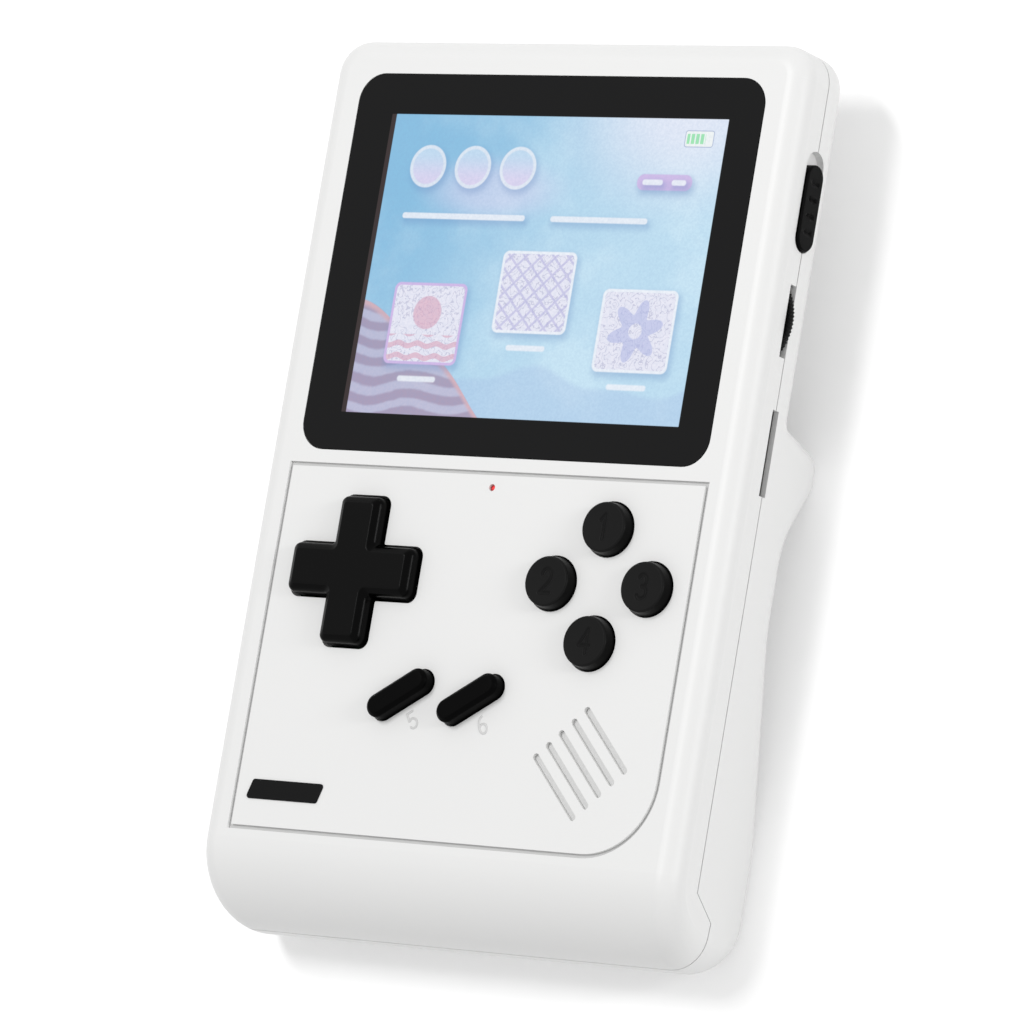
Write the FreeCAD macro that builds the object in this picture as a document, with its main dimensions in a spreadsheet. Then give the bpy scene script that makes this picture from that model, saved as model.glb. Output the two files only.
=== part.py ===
"""Handheld game console, upright 4:3 screen over a cross pad and four round keys.

The console lies on its back: +X to the right of the screen, +Y towards the top edge,
+Z out of the screen. The origin is under its middle, on the surface it lies on, so the
ridge across the back and the thick lower end touch z = 0. Sizes are in millimetres.
"""
import FreeCAD, Part
import Sketcher
import math
import os
import re

from FreeCAD import Rotation, Vector

SIZES = [
    # Outer form, seen from the side
    ("body_width", 81.0, "outer width over the side walls"),
    ("body_length", 128.1, "outer length from the top edge to the lower end"),
    ("body_depth", 20.0, "from the resting surface to the front face"),
    ("upper_depth", 11.2, "depth of the upper half, from the flat upper back to the front face"),
    ("ridge_foot_y", 12.6, "where the finger ridge meets the upper back"),
    ("ridge_crest_y", 9.9, "upper corner of the ridge's crest"),
    ("ridge_land_y", 4.8, "lower corner of the ridge's crest"),
    ("waist_top_y", -3.5, "upper end of the waist below the ridge"),
    ("waist_low_y", -16.0, "lower end of the waist"),
    ("waist_height", 5.15, "height of the waist over the resting surface"),
    ("land_rise", 18.05, "length of the thick lower end with its flat land"),
    ("end_flat", 0.2, "straight stretch between the lower end's two curves"),
    ("back_curve", 8.0, "radius from the lower end to the back"),
    ("land_blend", 30.0, "blend of the land into the slope"),
    ("waist_blend", 40.0, "blend of the slope into the waist"),
    ("saddle_blend", 12.0, "blend of the waist into the ridge"),
    ("ridge_round", 3.1, "radius of the ridge's two corners"),
    ("foot_round", 0.7, "radius in the corner at the ridge's foot"),
    ("top_corner", 5.0, "radius of the two upper corners seen from the front"),
    ("edge_round", 3.0, "radius of the rim all round the front and the back"),
    ("low_corner", 5.0, "radius of the rim at the lower end"),
    ("side_wall", 1.8, "thickness of the side, top and lower walls"),
    ("front_wall", 2.2, "thickness of the front wall"),
    ("back_wall", 1.6, "thickness of the back wall"),
    ("inner_bevel", 1.2, "bevel of the rim inside the housing"),
    ("tool_reach", 1.0, "how far a cutting tool reaches past the form"),
    # Seam between the two shells
    ("seam_drop", 6.3, "depth of the seam's straight stretch under the front face"),
    ("seam_step_rise", 10.45, "from the lower end to where the seam starts to step back"),
    ("seam_low_rise", 7.05, "from the lower end to where the step ends"),
    ("seam_low", 9.3, "height of the seam after the step"),
    ("seam_end", 9.9, "height of the seam at the lower end"),
    ("seam_line", 0.2, "height of the line that shows along the seam"),
    ("seam_line_depth", 0.5, "depth of that line"),
    # Screen
    ("lens_side", 5.83, "from the sides to the screen lens"),
    ("lens_length", 54.8, "length of the screen lens"),
    ("lens_top", 5.4, "from the top edge to the lens"),
    ("lens_corner", 4.0, "corner radius of the lens"),
    ("lens_thick", 1.2, "thickness of the lens"),
    ("lens_gap", 0.12, "gap round the lens"),
    ("view_width", 57.6, "width of the clear window, the picture's width"),
    ("view_length", 43.5, "length of the clear window, the picture's height"),
    ("view_margin", 0.8, "how far the shell's opening stands off the window"),
    ("view_x", 0.4, "sideways place of the window"),
    ("view_drop", 0.2, "how far the window's middle lies below the lens's middle"),
    ("lcd_inset", 0.17, "how far the display module's sides lie within the lens's"),
    ("lcd_length", 50.0, "length of the display module"),
    ("lcd_thick", 2.5, "thickness of the display module"),
    # Line round the control panel
    ("panel_left_side", 5.0, "from the left side to the control panel"),
    ("panel_right_side", 5.0, "from the right side to the control panel"),
    ("panel_drop", 2.3, "from the lens's lower edge to the control panel"),
    ("panel_rise", 13.23, "from the lower end to the control panel"),
    ("panel_corner", 11.0, "radius of the panel's lower right corner"),
    ("panel_line", 0.6, "width of the line round the panel"),
    ("panel_line_depth", 0.5, "depth of that line"),
    # Four round keys
    ("keys_side", 19.72, "from the right side to the middle of the four keys"),
    ("keys_drop", 17.35, "from the lens's lower edge to the middle of the four keys"),
    ("keys_reach", 8.01, "distance of each key from their middle"),
    ("key_radius", 3.78, "radius of a key's cap"),
    ("key_height", 1.85, "height of a key over the front face"),
    ("key_round", 0.4, "bevel of a key's top edge"),
    ("key_gap", 0.2, "gap round the caps that slide in the front wall"),
    ("flange_reach", 0.8, "how far a key's flange reaches past its cap"),
    ("flange_thick", 1.0, "thickness of the keys' flanges"),
    ("flange_gap", 0.1, "gap between a flange and the front wall"),
    # Cross pad
    ("pad_side", 19.55, "from the left side to the middle of the cross pad"),
    ("pad_drop", 17.35, "from the lens's lower edge to the middle of the cross pad"),
    ("pad_span", 21.2, "tip to tip length of the cross"),
    ("pad_arm", 7.3, "width of an arm of the cross"),
    ("pad_height", 2.2, "height of the cross over the front face"),
    ("pad_corner", 1.1, "corner radius of the arms seen from the front"),
    ("pad_crook", 0.6, "radius in the four inner corners of the cross"),
    ("pad_round", 0.9, "bevel of the cross's top edge"),
    ("pad_gap", 0.4, "gap round the cross, which tilts"),
    ("pad_flange_radius", 12.0, "radius of the disc under the cross"),
    ("pad_flange_drop", 1.2, "how far that disc lies under the front wall"),
    ("ball_radius", 1.0, "radius of the ball that the pad rocks on"),
    ("ball_drop", 4.0, "depth of the ball's middle under the front face"),
    ("ball_gap", 0.03, "running fit of the ball"),
    ("post_radius", 1.6, "radius of the post under the ball"),
    ("post_gap", 0.3, "gap between the post's top and the pad"),
    # Two slanted menu keys
    ("select_x", -9.27, "middle of the left menu key"),
    ("start_x", 2.69, "middle of the right menu key"),
    ("menu_drop", 34.35, "from the lens's lower edge to the middle of the menu keys"),
    ("menu_length", 10.7, "length of a menu key"),
    ("menu_width", 3.5, "width of a menu key"),
    ("menu_height", 2.2, "height of a menu key over the front face"),
    ("menu_round", 0.4, "bevel of a menu key's top edge"),
    ("menu_angle", 33.0, "slant of the menu keys in degrees"),
    # Speaker and light
    ("speaker_side", 18.3, "from the right side to the middle of the speaker"),
    ("speaker_drop", 42.05, "from the lens's lower edge to the middle of the speaker"),
    ("speaker_radius", 9.0, "radius of the speaker"),
    ("speaker_thick", 3.4, "thickness of the speaker"),
    ("speaker_gap", 0.2, "gap between the speaker and the front wall"),
    ("slot_length", 12.0, "length of a sound slot"),
    ("slot_width", 1.0, "width of a sound slot"),
    ("slot_pitch", 2.5, "distance between sound slots"),
    ("slot_angle", -46.0, "slant of the sound slots in degrees"),
    ("led_x", -0.2, "sideways place of the power light"),
    ("led_drop", 4.35, "from the lens's lower edge to the power light"),
    ("led_radius", 0.45, "radius of the light guide"),
    ("led_flange", 0.5, "how far the light guide's flange reaches"),
    ("led_gap", 0.05, "gap round the light guide"),
    ("led_chip_length", 1.6, "length of the light on the board"),
    ("led_chip_height", 0.7, "height of the light on the board"),
    # Board under the screen and the keys
    ("board_drop", 8.2, "depth of the board's underside under the front face"),
    ("board_thick", 1.2, "thickness of the board"),
    ("board_edge", 1.2, "gap between the board and the side walls"),
    ("board_rise", 17.85, "from the lower end to the board"),
    ("board_notch", 0.3, "gap between the board and what passes it"),
    ("board_post_side", 7.0, "from the sides to the lower pair of posts for the board"),
    ("board_post_rise", 3.2, "from the board's lower end to those posts"),
    ("board_post_top", 4.85, "from the top edge to the post above the screen"),
    ("post_thick", 1.8, "radius of the posts that hold the board"),
    ("flex_side", 18.1, "from the display's left side to the middle of its flexible lead"),
    ("flex_width", 16.0, "width of the display's flexible lead"),
    ("flex_thick", 0.3, "thickness of the display's flexible lead"),
    ("flex_loop", 2.4, "how far the flexible lead loops out"),
    ("mat_reach", 4.2, "how far the keys' mat reaches past their middles"),
    ("mat_inset", 0.6, "how much smaller the pad's mat is than its disc"),
    ("rubber_thick", 0.8, "thickness of the rubber mats on the board"),
    ("pip_radius", 2.0, "radius of the rubber pip under a key"),
    # Screws and their posts
    ("boss_radius", 2.2, "radius of the front shell's screw bosses"),
    ("pillar_radius", 2.9, "radius of the back shell's screw pillars"),
    ("screw_shank", 1.0, "radius of a screw's shank"),
    ("screw_head", 1.9, "radius of a screw's head"),
    ("screw_head_height", 1.2, "height of a screw's head"),
    ("seat_thick", 1.4, "height of the screw heads' seat over the upper back"),
    ("screw_drop", 3.4, "depth of the screws' tips under the front face"),
    ("screw_fit", 0.03, "fit of a screw in its boss"),
    ("screw_slack", 0.2, "slack round a screw's head and in the board"),
    ("top_screw_side", 6.5, "from the sides to the upper pair of shell screws"),
    ("top_screw_end", 5.05, "from the top edge to the upper pair of shell screws"),
    ("low_screw_side", 7.0, "from the sides to the lower pair of shell screws"),
    ("low_screw_end", 14.05, "from the lower end to the lower pair of shell screws"),
    # Power switch on the right side
    ("switch_y", 42.8, "middle of the switch's recess"),
    ("switch_lift", 1.0, "height of the recess's middle over the board"),
    ("recess_length", 14.3, "length of the recess"),
    ("recess_width", 4.2, "width of the recess"),
    ("recess_depth", 1.1, "depth of the recess"),
    ("slider_gap", 0.2, "gap round the slider's cap"),
    ("slider_proud", 0.5, "how far the cap stands out of the side wall"),
    ("slider_travel", 1.7, "travel of the slider"),
    ("slider_groove", 0.2, "depth and half width of the grooves in the cap"),
    ("slider_pitch", 2.25, "distance between those grooves"),
    ("stem_length", 3.0, "length of the slider's stem along the body"),
    ("stem_width", 1.4, "width of the slider's stem"),
    ("stem_gap", 0.15, "gap round the stem"),
    ("stem_reach", 1.2, "how far the stem reaches into the switch"),
    ("switch_length", 8.6, "length of the switch"),
    ("switch_deep", 3.3, "depth of the switch behind the wall"),
    ("switch_height", 2.6, "height of the switch over the board"),
    ("socket_gap", 0.15, "gap between the side wall and what stands behind it"),
    # Volume wheel on the right side
    ("wheel_y", 25.85, "middle of the volume wheel"),
    ("wheel_radius", 8.0, "radius of the volume wheel"),
    ("wheel_thick", 1.0, "thickness of the volume wheel"),
    ("wheel_lift", 0.95, "height of the wheel's underside over the board"),
    ("wheel_proud", 0.8, "how far the wheel stands out of the side wall"),
    ("wheel_slot", 10.2, "length of the wheel's slot"),
    ("wheel_slot_height", 1.5, "height of the wheel's slot, which starts at the seam"),
    ("wheel_room_gap", 0.4, "room round the wheel inside the wall"),
    ("wheel_shaft", 1.5, "radius of the wheel's shaft"),
    ("wheel_fit", 0.04, "running fit of the wheel on its shaft"),
    ("pot_size", 9.6, "width of the wheel's base on the board"),
    ("pot_height", 0.8, "height of the wheel's base over the board"),
    ("wheel_teeth", 40.0, "number of ribs on the wheel's rim"),
    ("wheel_tooth", 0.25, "depth of a rib on the wheel's rim"),
    # Card slot on the right side
    ("card_y", 7.4, "middle of the card slot"),
    ("card_slot_length", 12.1, "length of the card slot"),
    ("card_lift", 0.1, "height of the card slot over the board"),
    ("card_slot_height", 1.5, "height of the card slot"),
    ("card_lip", 0.8, "thickness of the wall round the card slot"),
    ("card_socket_length", 14.4, "length of the card socket along the body"),
    ("card_socket_deep", 15.0, "depth of the card socket into the body"),
    ("card_socket_height", 1.9, "height of the card socket"),
    ("sheet_metal", 0.2, "thickness of the sockets' sheet metal"),
    # Sockets in the top edge
    ("usb_x", -14.0, "middle of the charging socket"),
    ("usb_width", 8.94, "width of the charging socket"),
    ("usb_height", 3.2, "height of the charging socket"),
    ("usb_deep", 7.3, "length of the charging socket"),
    ("usb_lift", 1.1, "height of the charging socket's middle over the board's underside"),
    ("usb_inset", 0.3, "how far the charging socket lies behind the top edge"),
    ("usb_metal", 0.3, "thickness of the charging socket's shell"),
    ("usb_tongue_width", 6.69, "width of the charging socket's tongue"),
    ("usb_tongue_thick", 0.7, "thickness of the charging socket's tongue"),
    ("usb_gap", 0.25, "gap round the charging socket in the wall"),
    ("jack_x", 16.0, "middle of the headphone socket"),
    ("jack_lift", 1.3, "height of the headphone socket's middle over the board's underside"),
    ("jack_bore", 1.75, "radius of the headphone socket's bore"),
    ("jack_depth", 13.6, "depth of the bore from the top edge"),
    ("jack_collar", 2.5, "radius of the headphone socket's collar"),
    ("jack_width", 6.4, "width of the headphone socket's body"),
    ("jack_height", 4.2, "height of the headphone socket's body"),
    ("jack_wall", 0.6, "wall behind the headphone socket's bore"),
    ("jack_setback", 0.8, "gap between that body and the top wall"),
    ("jack_gap", 0.15, "gap round the collar in the wall"),
    # Shoulder keys in the ridge's upper flank
    ("trigger_side", 14.0, "from the sides to the middle of a shoulder key"),
    ("trigger_width", 17.0, "width of a shoulder key"),
    ("trigger_low", 3.4, "lower edge of a shoulder key"),
    ("trigger_high", 7.2, "upper edge of a shoulder key"),
    ("trigger_proud", 1.2, "how far a shoulder key stands out of the flank"),
    ("trigger_travel", 1.0, "travel of a shoulder key"),
    ("trigger_gap", 0.2, "gap round a shoulder key"),
    ("trigger_flange", 1.0, "how far its flange reaches sideways"),
    ("trigger_flange_low", 0.4, "how far its flange reaches down"),
    ("trigger_flange_thick", 1.0, "thickness of that flange"),
    ("trigger_inner_gap", 0.05, "gap between that flange and the flank's inside"),
    ("trigger_corner", 1.2, "corner radius of a shoulder key"),
    ("trigger_board_y", 3.0, "back face of the shoulder key's board"),
    ("trigger_board_low", 4.0, "lower edge of the shoulder key's board"),
    ("trigger_board_air", 1.0, "gap between the shoulder key's board and the board above it"),
    ("trigger_board_width", 15.0, "width of the shoulder key's board"),
    ("trigger_board_thick", 1.0, "thickness of the shoulder key's board"),
    ("tact_width", 5.8, "width of the shoulder key's switch"),
    ("tact_height", 3.6, "height of the shoulder key's switch"),
    ("tact_z", 5.9, "height of the switch's middle"),
    ("tact_stem", 0.8, "radius of the switch's plunger"),
    ("tact_gap", 0.1, "gap between the pressed shoulder key and the plunger"),
    ("board_fit", 0.1, "gap round a small board in its ribs"),
    ("rib_top", 8.0, "height that the ribs reach"),
    ("tact_body", 2.6, "thickness of the switch's body"),
    ("rib_thick", 1.2, "thickness of the ribs that hold the small boards"),
    # Battery and its cover
    ("cell_side", 15.5, "how far the cell's ends lie within the sides, without its gaps"),
    ("cell_width", 34.0, "width of the cell along the body"),
    ("cell_corner", 1.5, "corner radius of the cell"),
    ("contact_width", 1.6, "width of a contact"),
    ("contact_pitch", 3.5, "distance between the contacts"),
    ("cell_gap", 0.2, "gap round the cell"),
    ("bay_rise", 8.05, "from the lower end to the battery bay"),
    ("bay_roof", 0.6, "thickness of the bay's roof"),
    ("bay_air", 0.1, "gap between the bay's roof and the board"),
    ("bay_ledge", 1.0, "width of the ledge under the cover's rim"),
    ("bay_wall", 2.2, "thickness of the bay's walls"),
    ("contact_space", 1.6, "room for the contacts at the cell's end"),
    ("cover_gap", 0.2, "gap round the battery cover"),
    ("cover_end_gap", 0.4, "gap at the cover's free end, which swings"),
    ("cover_rest", 0.15, "gap between the cover and its ledge"),
    ("tab_width", 6.0, "width of the cover's two tabs"),
    ("tab_x", 16.0, "place of the cover's two tabs"),
    ("tab_reach", 0.8, "how far the tabs reach behind the shell"),
    ("tab_thick", 1.0, "thickness of the tabs"),
    ("tab_lift", 0.6, "height of the tabs over the inside of the back wall"),
    ("rib_width", 1.2, "width of the ribs inside the cover"),
    ("notch_width", 14.0, "width of the finger notch at the cover's free end"),
    ("notch_depth", 1.0, "depth of the finger notch"),
    ("notch_radius", 4.0, "radius of the finger notch"),
]

SCREW_PLACES = [
    (side + place + "_screw_x", place + "_screw_y")
    for place in ("top", "low")
    for side in ("", "-")
]

doc = FreeCAD.newDocument("handheld_console")
sheet = doc.addObject("Spreadsheet::Sheet", "sizes")
for row, (alias, value, meaning) in enumerate(SIZES, start=1):
    sheet.set(f"A{row}", alias)
    sheet.set(f"B{row}", str(value))
    sheet.setAlias(f"B{row}", alias)
    sheet.set(f"C{row}", meaning)
doc.recompute()

ALIASES = re.compile(r"\b(" + "|".join(alias for alias, _, _ in SIZES) + r")\b")

# Places that follow from the sizes, each written with sizes or with earlier places
PLACES = {
    "half_width": "(body_width / 2)",
    "half_length": "(body_length / 2)",
    "front_curve": "(body_depth - back_curve - end_flat)",
    "upper_back": "(body_depth - upper_depth)",
    "land_y": "(land_rise - half_length)",
    "seam_height": "(body_depth - seam_drop)",
    "seam_step_y": "(seam_step_rise - half_length)",
    "seam_low_y": "(seam_low_rise - half_length)",
    "board_low": "(body_depth - board_drop)",
    "board_top": "(board_low + board_thick)",
    "board_end_y": "(board_rise - half_length)",
    "lens_width": "(body_width - 2 * lens_side)",
    "lens_y": "(half_length - lens_top - lens_length / 2)",
    "lens_low_y": "(half_length - lens_top - lens_length)",
    "view_y": "(lens_y - view_drop)",
    "lcd_width": "(lens_width - 2 * lcd_inset)",
    "flex_x": "(view_x - lcd_width / 2 + flex_side)",
    "keys_y": "(lens_low_y - keys_drop)",
    "pad_y": "(lens_low_y - pad_drop)",
    "menu_y": "(lens_low_y - menu_drop)",
    "speaker_y": "(lens_low_y - speaker_drop)",
    "led_y": "(lens_low_y - led_drop)",
    "panel_top": "(lens_low_y - panel_drop)",
    "trigger_board_high": "(board_low - trigger_board_air)",
    "panel_left": "(panel_left_side - half_width)",
    "panel_right": "(half_width - panel_right_side)",
    "panel_bottom": "(panel_rise - half_length)",
    "keys_x": "(half_width - keys_side)",
    "pad_x": "(pad_side - half_width)",
    "speaker_x": "(half_width - speaker_side)",
    "trigger_x": "(half_width - trigger_side)",
    "ball_height": "(body_depth - ball_drop)",
    "board_post_x": "(half_width - board_post_side)",
    "board_post_y": "(board_end_y + board_post_rise)",
    "board_post_high_y": "(half_length - board_post_top)",
    "screw_seat": "(upper_back + seat_thick)",
    "screw_reach": "(body_depth - screw_drop)",
    "top_screw_x": "(half_width - top_screw_side)",
    "top_screw_y": "(half_length - top_screw_end)",
    "low_screw_x": "(half_width - low_screw_side)",
    "low_screw_y": "(low_screw_end - half_length)",
    "switch_z": "(board_top + switch_lift)",
    "wheel_low": "(board_top + wheel_lift)",
    "wheel_slot_low": "(seam_height)",
    "wheel_slot_high": "(wheel_slot_low + wheel_slot_height)",
    "card_slot_low": "(board_top + card_lift)",
    "card_slot_high": "(card_slot_low + card_slot_height)",
    "usb_z": "(board_low + usb_lift)",
    "jack_z": "(board_low + jack_lift)",
    "cell_length": "(body_width - 2 * cell_side)",
    "bay_low_y": "(bay_rise - half_length)",
    "bay_high_y": "(bay_low_y + cell_width + 2 * cell_gap)",
    "slope": "(waist_height / (waist_low_y - land_y))",
    "cell_low": "((bay_high_y - land_y) * slope + back_wall + cover_rest)",
    "bay_ceiling": "(board_low - bay_air - bay_roof)",
    "cell_thick": "(bay_ceiling - cover_rest - cell_low)",
}


def size(alias):
    """The value of one cell of the sheet."""
    return float(sheet.get(alias))


def worked_out(expression):
    """The value of an expression in sizes and places."""
    return float(sheet.evalExpression(in_sizes(expression)))


def in_sizes(expression):
    """An expression with every place written out in the sheet's aliases."""
    text = str(expression)
    for name in reversed(PLACES):
        text = re.sub(rf"\b{name}\b", PLACES[name], text)
    return ALIASES.sub(r"sizes.\1", text)


def bind(item, prop, expression):
    """Ties a property to an expression in sizes and places."""
    item.setExpression(prop, in_sizes(expression))


def place(item, x="0", y="0", z="0"):
    """Ties the three coordinates of an object's placement."""
    for letter, expression in zip("xyz", (x, y, z)):
        bind(item, f"Placement.Base.{letter}", expression)
    return item


# Small vocabulary of primitives and booleans


def block(name, low, high):
    """A box between two corners, each three expressions."""
    item = doc.addObject("Part::Box", name)
    for prop, start, stop in zip(("Length", "Width", "Height"), low, high):
        bind(item, prop, f"({stop}) - ({start})")
    return place(item, *low)


def rod(name, radius, foot, length, axis="Z"):
    """A cylinder from the middle of its foot along an axis."""
    item = doc.addObject("Part::Cylinder", name)
    bind(item, "Radius", radius)
    bind(item, "Height", length)
    turns = {"X": Rotation(Vector(0, 1, 0), 90), "Y": Rotation(Vector(1, 0, 0), -90)}
    item.Placement = FreeCAD.Placement(Vector(), turns.get(axis, Rotation()))
    return place(item, *foot)


def ball(name, radius, middle):
    """A sphere about its middle."""
    item = doc.addObject("Part::Sphere", name)
    bind(item, "Radius", radius)
    return place(item, *middle)


def joined(name, pieces):
    """One solid of several that touch or overlap."""
    item = doc.addObject("Part::MultiFuse", name)
    item.Shapes = pieces
    item.Refine = True
    return item


def grouped(name, pieces):
    """Several separate solids kept as one object."""
    item = doc.addObject("Part::Compound", name)
    item.Links = pieces
    return item


def shared(name, first, second):
    """What two solids have in common."""
    item = doc.addObject("Part::MultiCommon", name)
    item.Shapes = [first, second]
    return item


def cut(name, base, tools):
    """A solid less one or more tools."""
    tool = tools[0]
    if len(tools) > 1:
        tool = doc.addObject("Part::MultiFuse", name + "_tools")
        tool.Shapes = tools
    item = doc.addObject("Part::Cut", name)
    item.Base = base
    item.Tool = tool
    return item


def closed_sketch(sketch, corners):
    """Draws a closed polygon whose corners are pairs of expressions, fully constrained."""
    count = len(corners)
    for index in range(count):
        start = Vector(math.cos(6.3 * index / count), math.sin(6.3 * index / count), 0)
        turn = 6.3 * (index + 1) / count
        stop = Vector(math.cos(turn), math.sin(turn), 0)
        sketch.addGeometry(Part.LineSegment(start, stop))
    for index in range(count):
        following = (index + 1) % count
        sketch.addConstraint(Sketcher.Constraint("Coincident", index, 2, following, 1))
    for index, corner in enumerate(corners):
        for kind, expression in zip(("DistanceX", "DistanceY"), corner):
            datum = Sketcher.Constraint(kind, -1, 1, index, 1, 1.0)
            number = sketch.addConstraint(datum)
            bind(sketch, f"Constraints[{number}]", expression)
    return sketch


def side_prism(name, corners, low_x, high_x):
    """A prism along X over a polygon of (y, z) corners."""
    sketch = doc.addObject("Sketcher::SketchObject", name + "_sketch")
    sketch.Placement = FreeCAD.Placement(Vector(), Rotation(Vector(1, 1, 1), 120))
    closed_sketch(sketch, corners)
    bind(sketch, "Placement.Base.x", low_x)
    return prism(name, sketch, Vector(1, 0, 0), f"({high_x}) - ({low_x})")


def plan_prism(name, corners, low_z, high_z):
    """A prism along Z over a polygon of (x, y) corners."""
    sketch = doc.addObject("Sketcher::SketchObject", name + "_sketch")
    closed_sketch(sketch, corners)
    bind(sketch, "Placement.Base.z", low_z)
    return prism(name, sketch, Vector(0, 0, 1), f"({high_z}) - ({low_z})")


def prism(name, sketch, direction, length):
    """Extrudes a sketch by a length."""
    item = doc.addObject("Part::Extrusion", name)
    item.Base = sketch
    item.DirMode = "Custom"
    item.Dir = direction
    bind(item, "LengthFwd", length)
    item.Solid = True
    return item


def stadium(name, length, width, low_z, high_z, middle, angle="0"):
    """A prism along Z with two straight sides and two round ends, turned by an angle."""
    core = doc.addObject("Part::Box", name + "_core")
    bind(core, "Length", f"({length}) - ({width})")
    bind(core, "Width", width)
    bind(core, "Height", f"({high_z}) - ({low_z})")
    place(core, f"-(({length}) - ({width})) / 2", f"-({width}) / 2", low_z)
    ends = [
        rod(
            f"{name}_end_{index}",
            f"({width}) / 2",
            (f"{sign}(({length}) - ({width})) / 2", "0", low_z),
            f"({high_z}) - ({low_z})",
        )
        for index, sign in enumerate("+-")
    ]
    item = joined(name, [core] + ends)
    bind(item, "Placement.Rotation.Angle", angle)
    item.Placement.Rotation.Axis = Vector(0, 0, 1)
    return place(item, *middle, "0")


def edges_along(shape, test):
    """Numbers of a shape's edges whose middle and direction pass a test."""
    found = []
    for number, edge in enumerate(shape.Edges, start=1):
        middle = edge.valueAt((edge.FirstParameter + edge.LastParameter) / 2)
        direction = edge.tangentAt((edge.FirstParameter + edge.LastParameter) / 2)
        if test(edge, middle, direction):
            found.append(number)
    return found


def rounded(name, base, picks):
    """Rounds edges; each pick is a test with the radius at the edge's start and end."""
    doc.recompute()
    item = doc.addObject("Part::Fillet", name)
    item.Base = base
    rounds = []
    for test, first, last in picks:
        rounds += [(number, first, last) for number in edges_along(base.Shape, test)]
    item.Edges = rounds
    return item


def corner_test(y, z):
    """Picks the edge along X that runs through one (y, z) corner of a side prism."""
    def test(edge, middle, direction):
        along = abs(direction.x) > 0.99
        return along and abs(middle.y - y) < 0.01 and abs(middle.z - z) < 0.01
    return test


def upright(edge, middle, direction):
    """Picks the edges parallel to Z."""
    return abs(direction.z) > 0.99


# Outer form and the hollow inside it, from one side outline

FLANK_LEAN = "(ridge_foot_y - ridge_crest_y) / upper_back"
FLANK_SHIFT = f"back_wall * sqrt(1 + pow({FLANK_LEAN}; 2))"
SADDLE_SHIFT = "back_wall * tan(atan(waist_height / (ridge_land_y - waist_top_y)) / 2)"

OUTER_SIDE = [
    ("half_length", "body_depth"),
    ("-half_length", "body_depth"),
    ("-half_length", "0"),
    ("land_y", "0"),
    ("waist_low_y", "waist_height"),
    ("waist_top_y", "waist_height"),
    ("ridge_land_y", "0"),
    ("ridge_crest_y", "0"),
    ("ridge_foot_y", "upper_back"),
    ("half_length", "upper_back"),
]
INNER_SIDE = [
    ("half_length - side_wall", "body_depth - front_wall"),
    ("-half_length + side_wall", "body_depth - front_wall"),
    ("-half_length + side_wall", "back_wall"),
    ("land_y", "back_wall"),
    ("waist_low_y", "waist_height + back_wall"),
    (f"waist_top_y + {SADDLE_SHIFT}", "waist_height + back_wall"),
    (f"ridge_land_y + {SADDLE_SHIFT}", "back_wall"),
    (f"ridge_crest_y + back_wall * {FLANK_LEAN} - {FLANK_SHIFT}", "back_wall"),
    (f"ridge_foot_y + back_wall * {FLANK_LEAN} - {FLANK_SHIFT}", "upper_back + back_wall"),
    ("half_length - side_wall", "upper_back + back_wall"),
]


def outline_rounds(prism_shape, inset):
    """Radii for the outline's corners, taken in the order of its edges along X."""
    side_wall = size("side_wall") if inset else 0.0
    front_wall = size("front_wall") if inset else 0.0
    back_wall = size("back_wall") if inset else 0.0
    radii = {
        1: worked_out("front_curve") - front_wall,
        2: size("back_curve") - side_wall,
        3: size("land_blend") - back_wall,
        4: size("waist_blend") + back_wall,
        5: size("saddle_blend") + back_wall,
        6: size("ridge_round") - back_wall,
        7: size("ridge_round") - back_wall,
        8: size("foot_round") + back_wall,
    }
    sketch = prism_shape.Base
    picks = []
    for index, radius in radii.items():
        corner = sketch.getPoint(index, 1)
        picks.append((corner_test(corner.x, corner.y), radius, radius))
    return picks


def body_solid(name, corners, inset):
    """The side outline as a solid with its rounds, or with bevels inside the hollow.

    One half is shaped and mirrored, so both sides are alike."""
    side_wall = size("side_wall") if inset else 0.0
    half = "(half_width - side_wall)" if inset else "(half_width)"
    block_form = side_prism(name + "_prism", corners, f"-{half}", "0")
    doc.recompute()
    smooth = rounded(name + "_outline", block_form, outline_rounds(block_form, inset))
    half_width = size("body_width") / 2 - side_wall
    half_length = size("body_length") / 2 - side_wall
    corner_radius = size("top_corner") - side_wall

    def top_corner(edge, middle, direction):
        at_side = middle.x < 0.01 - half_width
        return upright(edge, middle, direction) and at_side and middle.y > half_length - 0.01

    cornered = rounded(name + "_corners", smooth, [(top_corner, corner_radius, corner_radius)])
    doc.recompute()
    rim = size("inner_bevel") if inset else size("edge_round")
    low_rim = size("inner_bevel") if inset else size("low_corner")
    finished = doc.addObject("Part::Chamfer" if inset else "Part::Fillet", name + "_half")
    finished.Base = cornered
    rounds = []
    for number, edge in enumerate(cornered.Shape.Edges, start=1):
        ends = [vertex.Point for vertex in edge.Vertexes]
        across = (edge.FirstParameter + edge.LastParameter) / 2
        middle = edge.valueAt(across)
        direction = edge.tangentAt(across)
        on_side = all(abs(end.x + half_width) < 0.01 for end in ends)
        near_top = middle.y > half_length - corner_radius - 0.01
        if abs(direction.z) > 0.999 and near_top:
            continue
        if on_side:
            radii = [low_rim if end.y < -half_length + 0.01 else rim for end in ends]
            if edge.valueAt(edge.FirstParameter).distanceToPoint(ends[0]) > 0.01:
                radii.reverse()
            rounds.append((number, radii[0], radii[1]))
        elif near_top and abs(direction.z) < 0.01:
            rounds.append((number, rim, rim))
    finished.Edges = rounds
    other = doc.addObject("Part::Mirroring", name + "_other_half")
    other.Source = finished
    other.Base = Vector(0, 0, 0)
    other.Normal = Vector(1, 0, 0)
    return joined(name, [finished, other])


form = body_solid("form", OUTER_SIDE, False)
hollow = body_solid("hollow", INNER_SIDE, True)

# Heights and places that several pieces share

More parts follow.
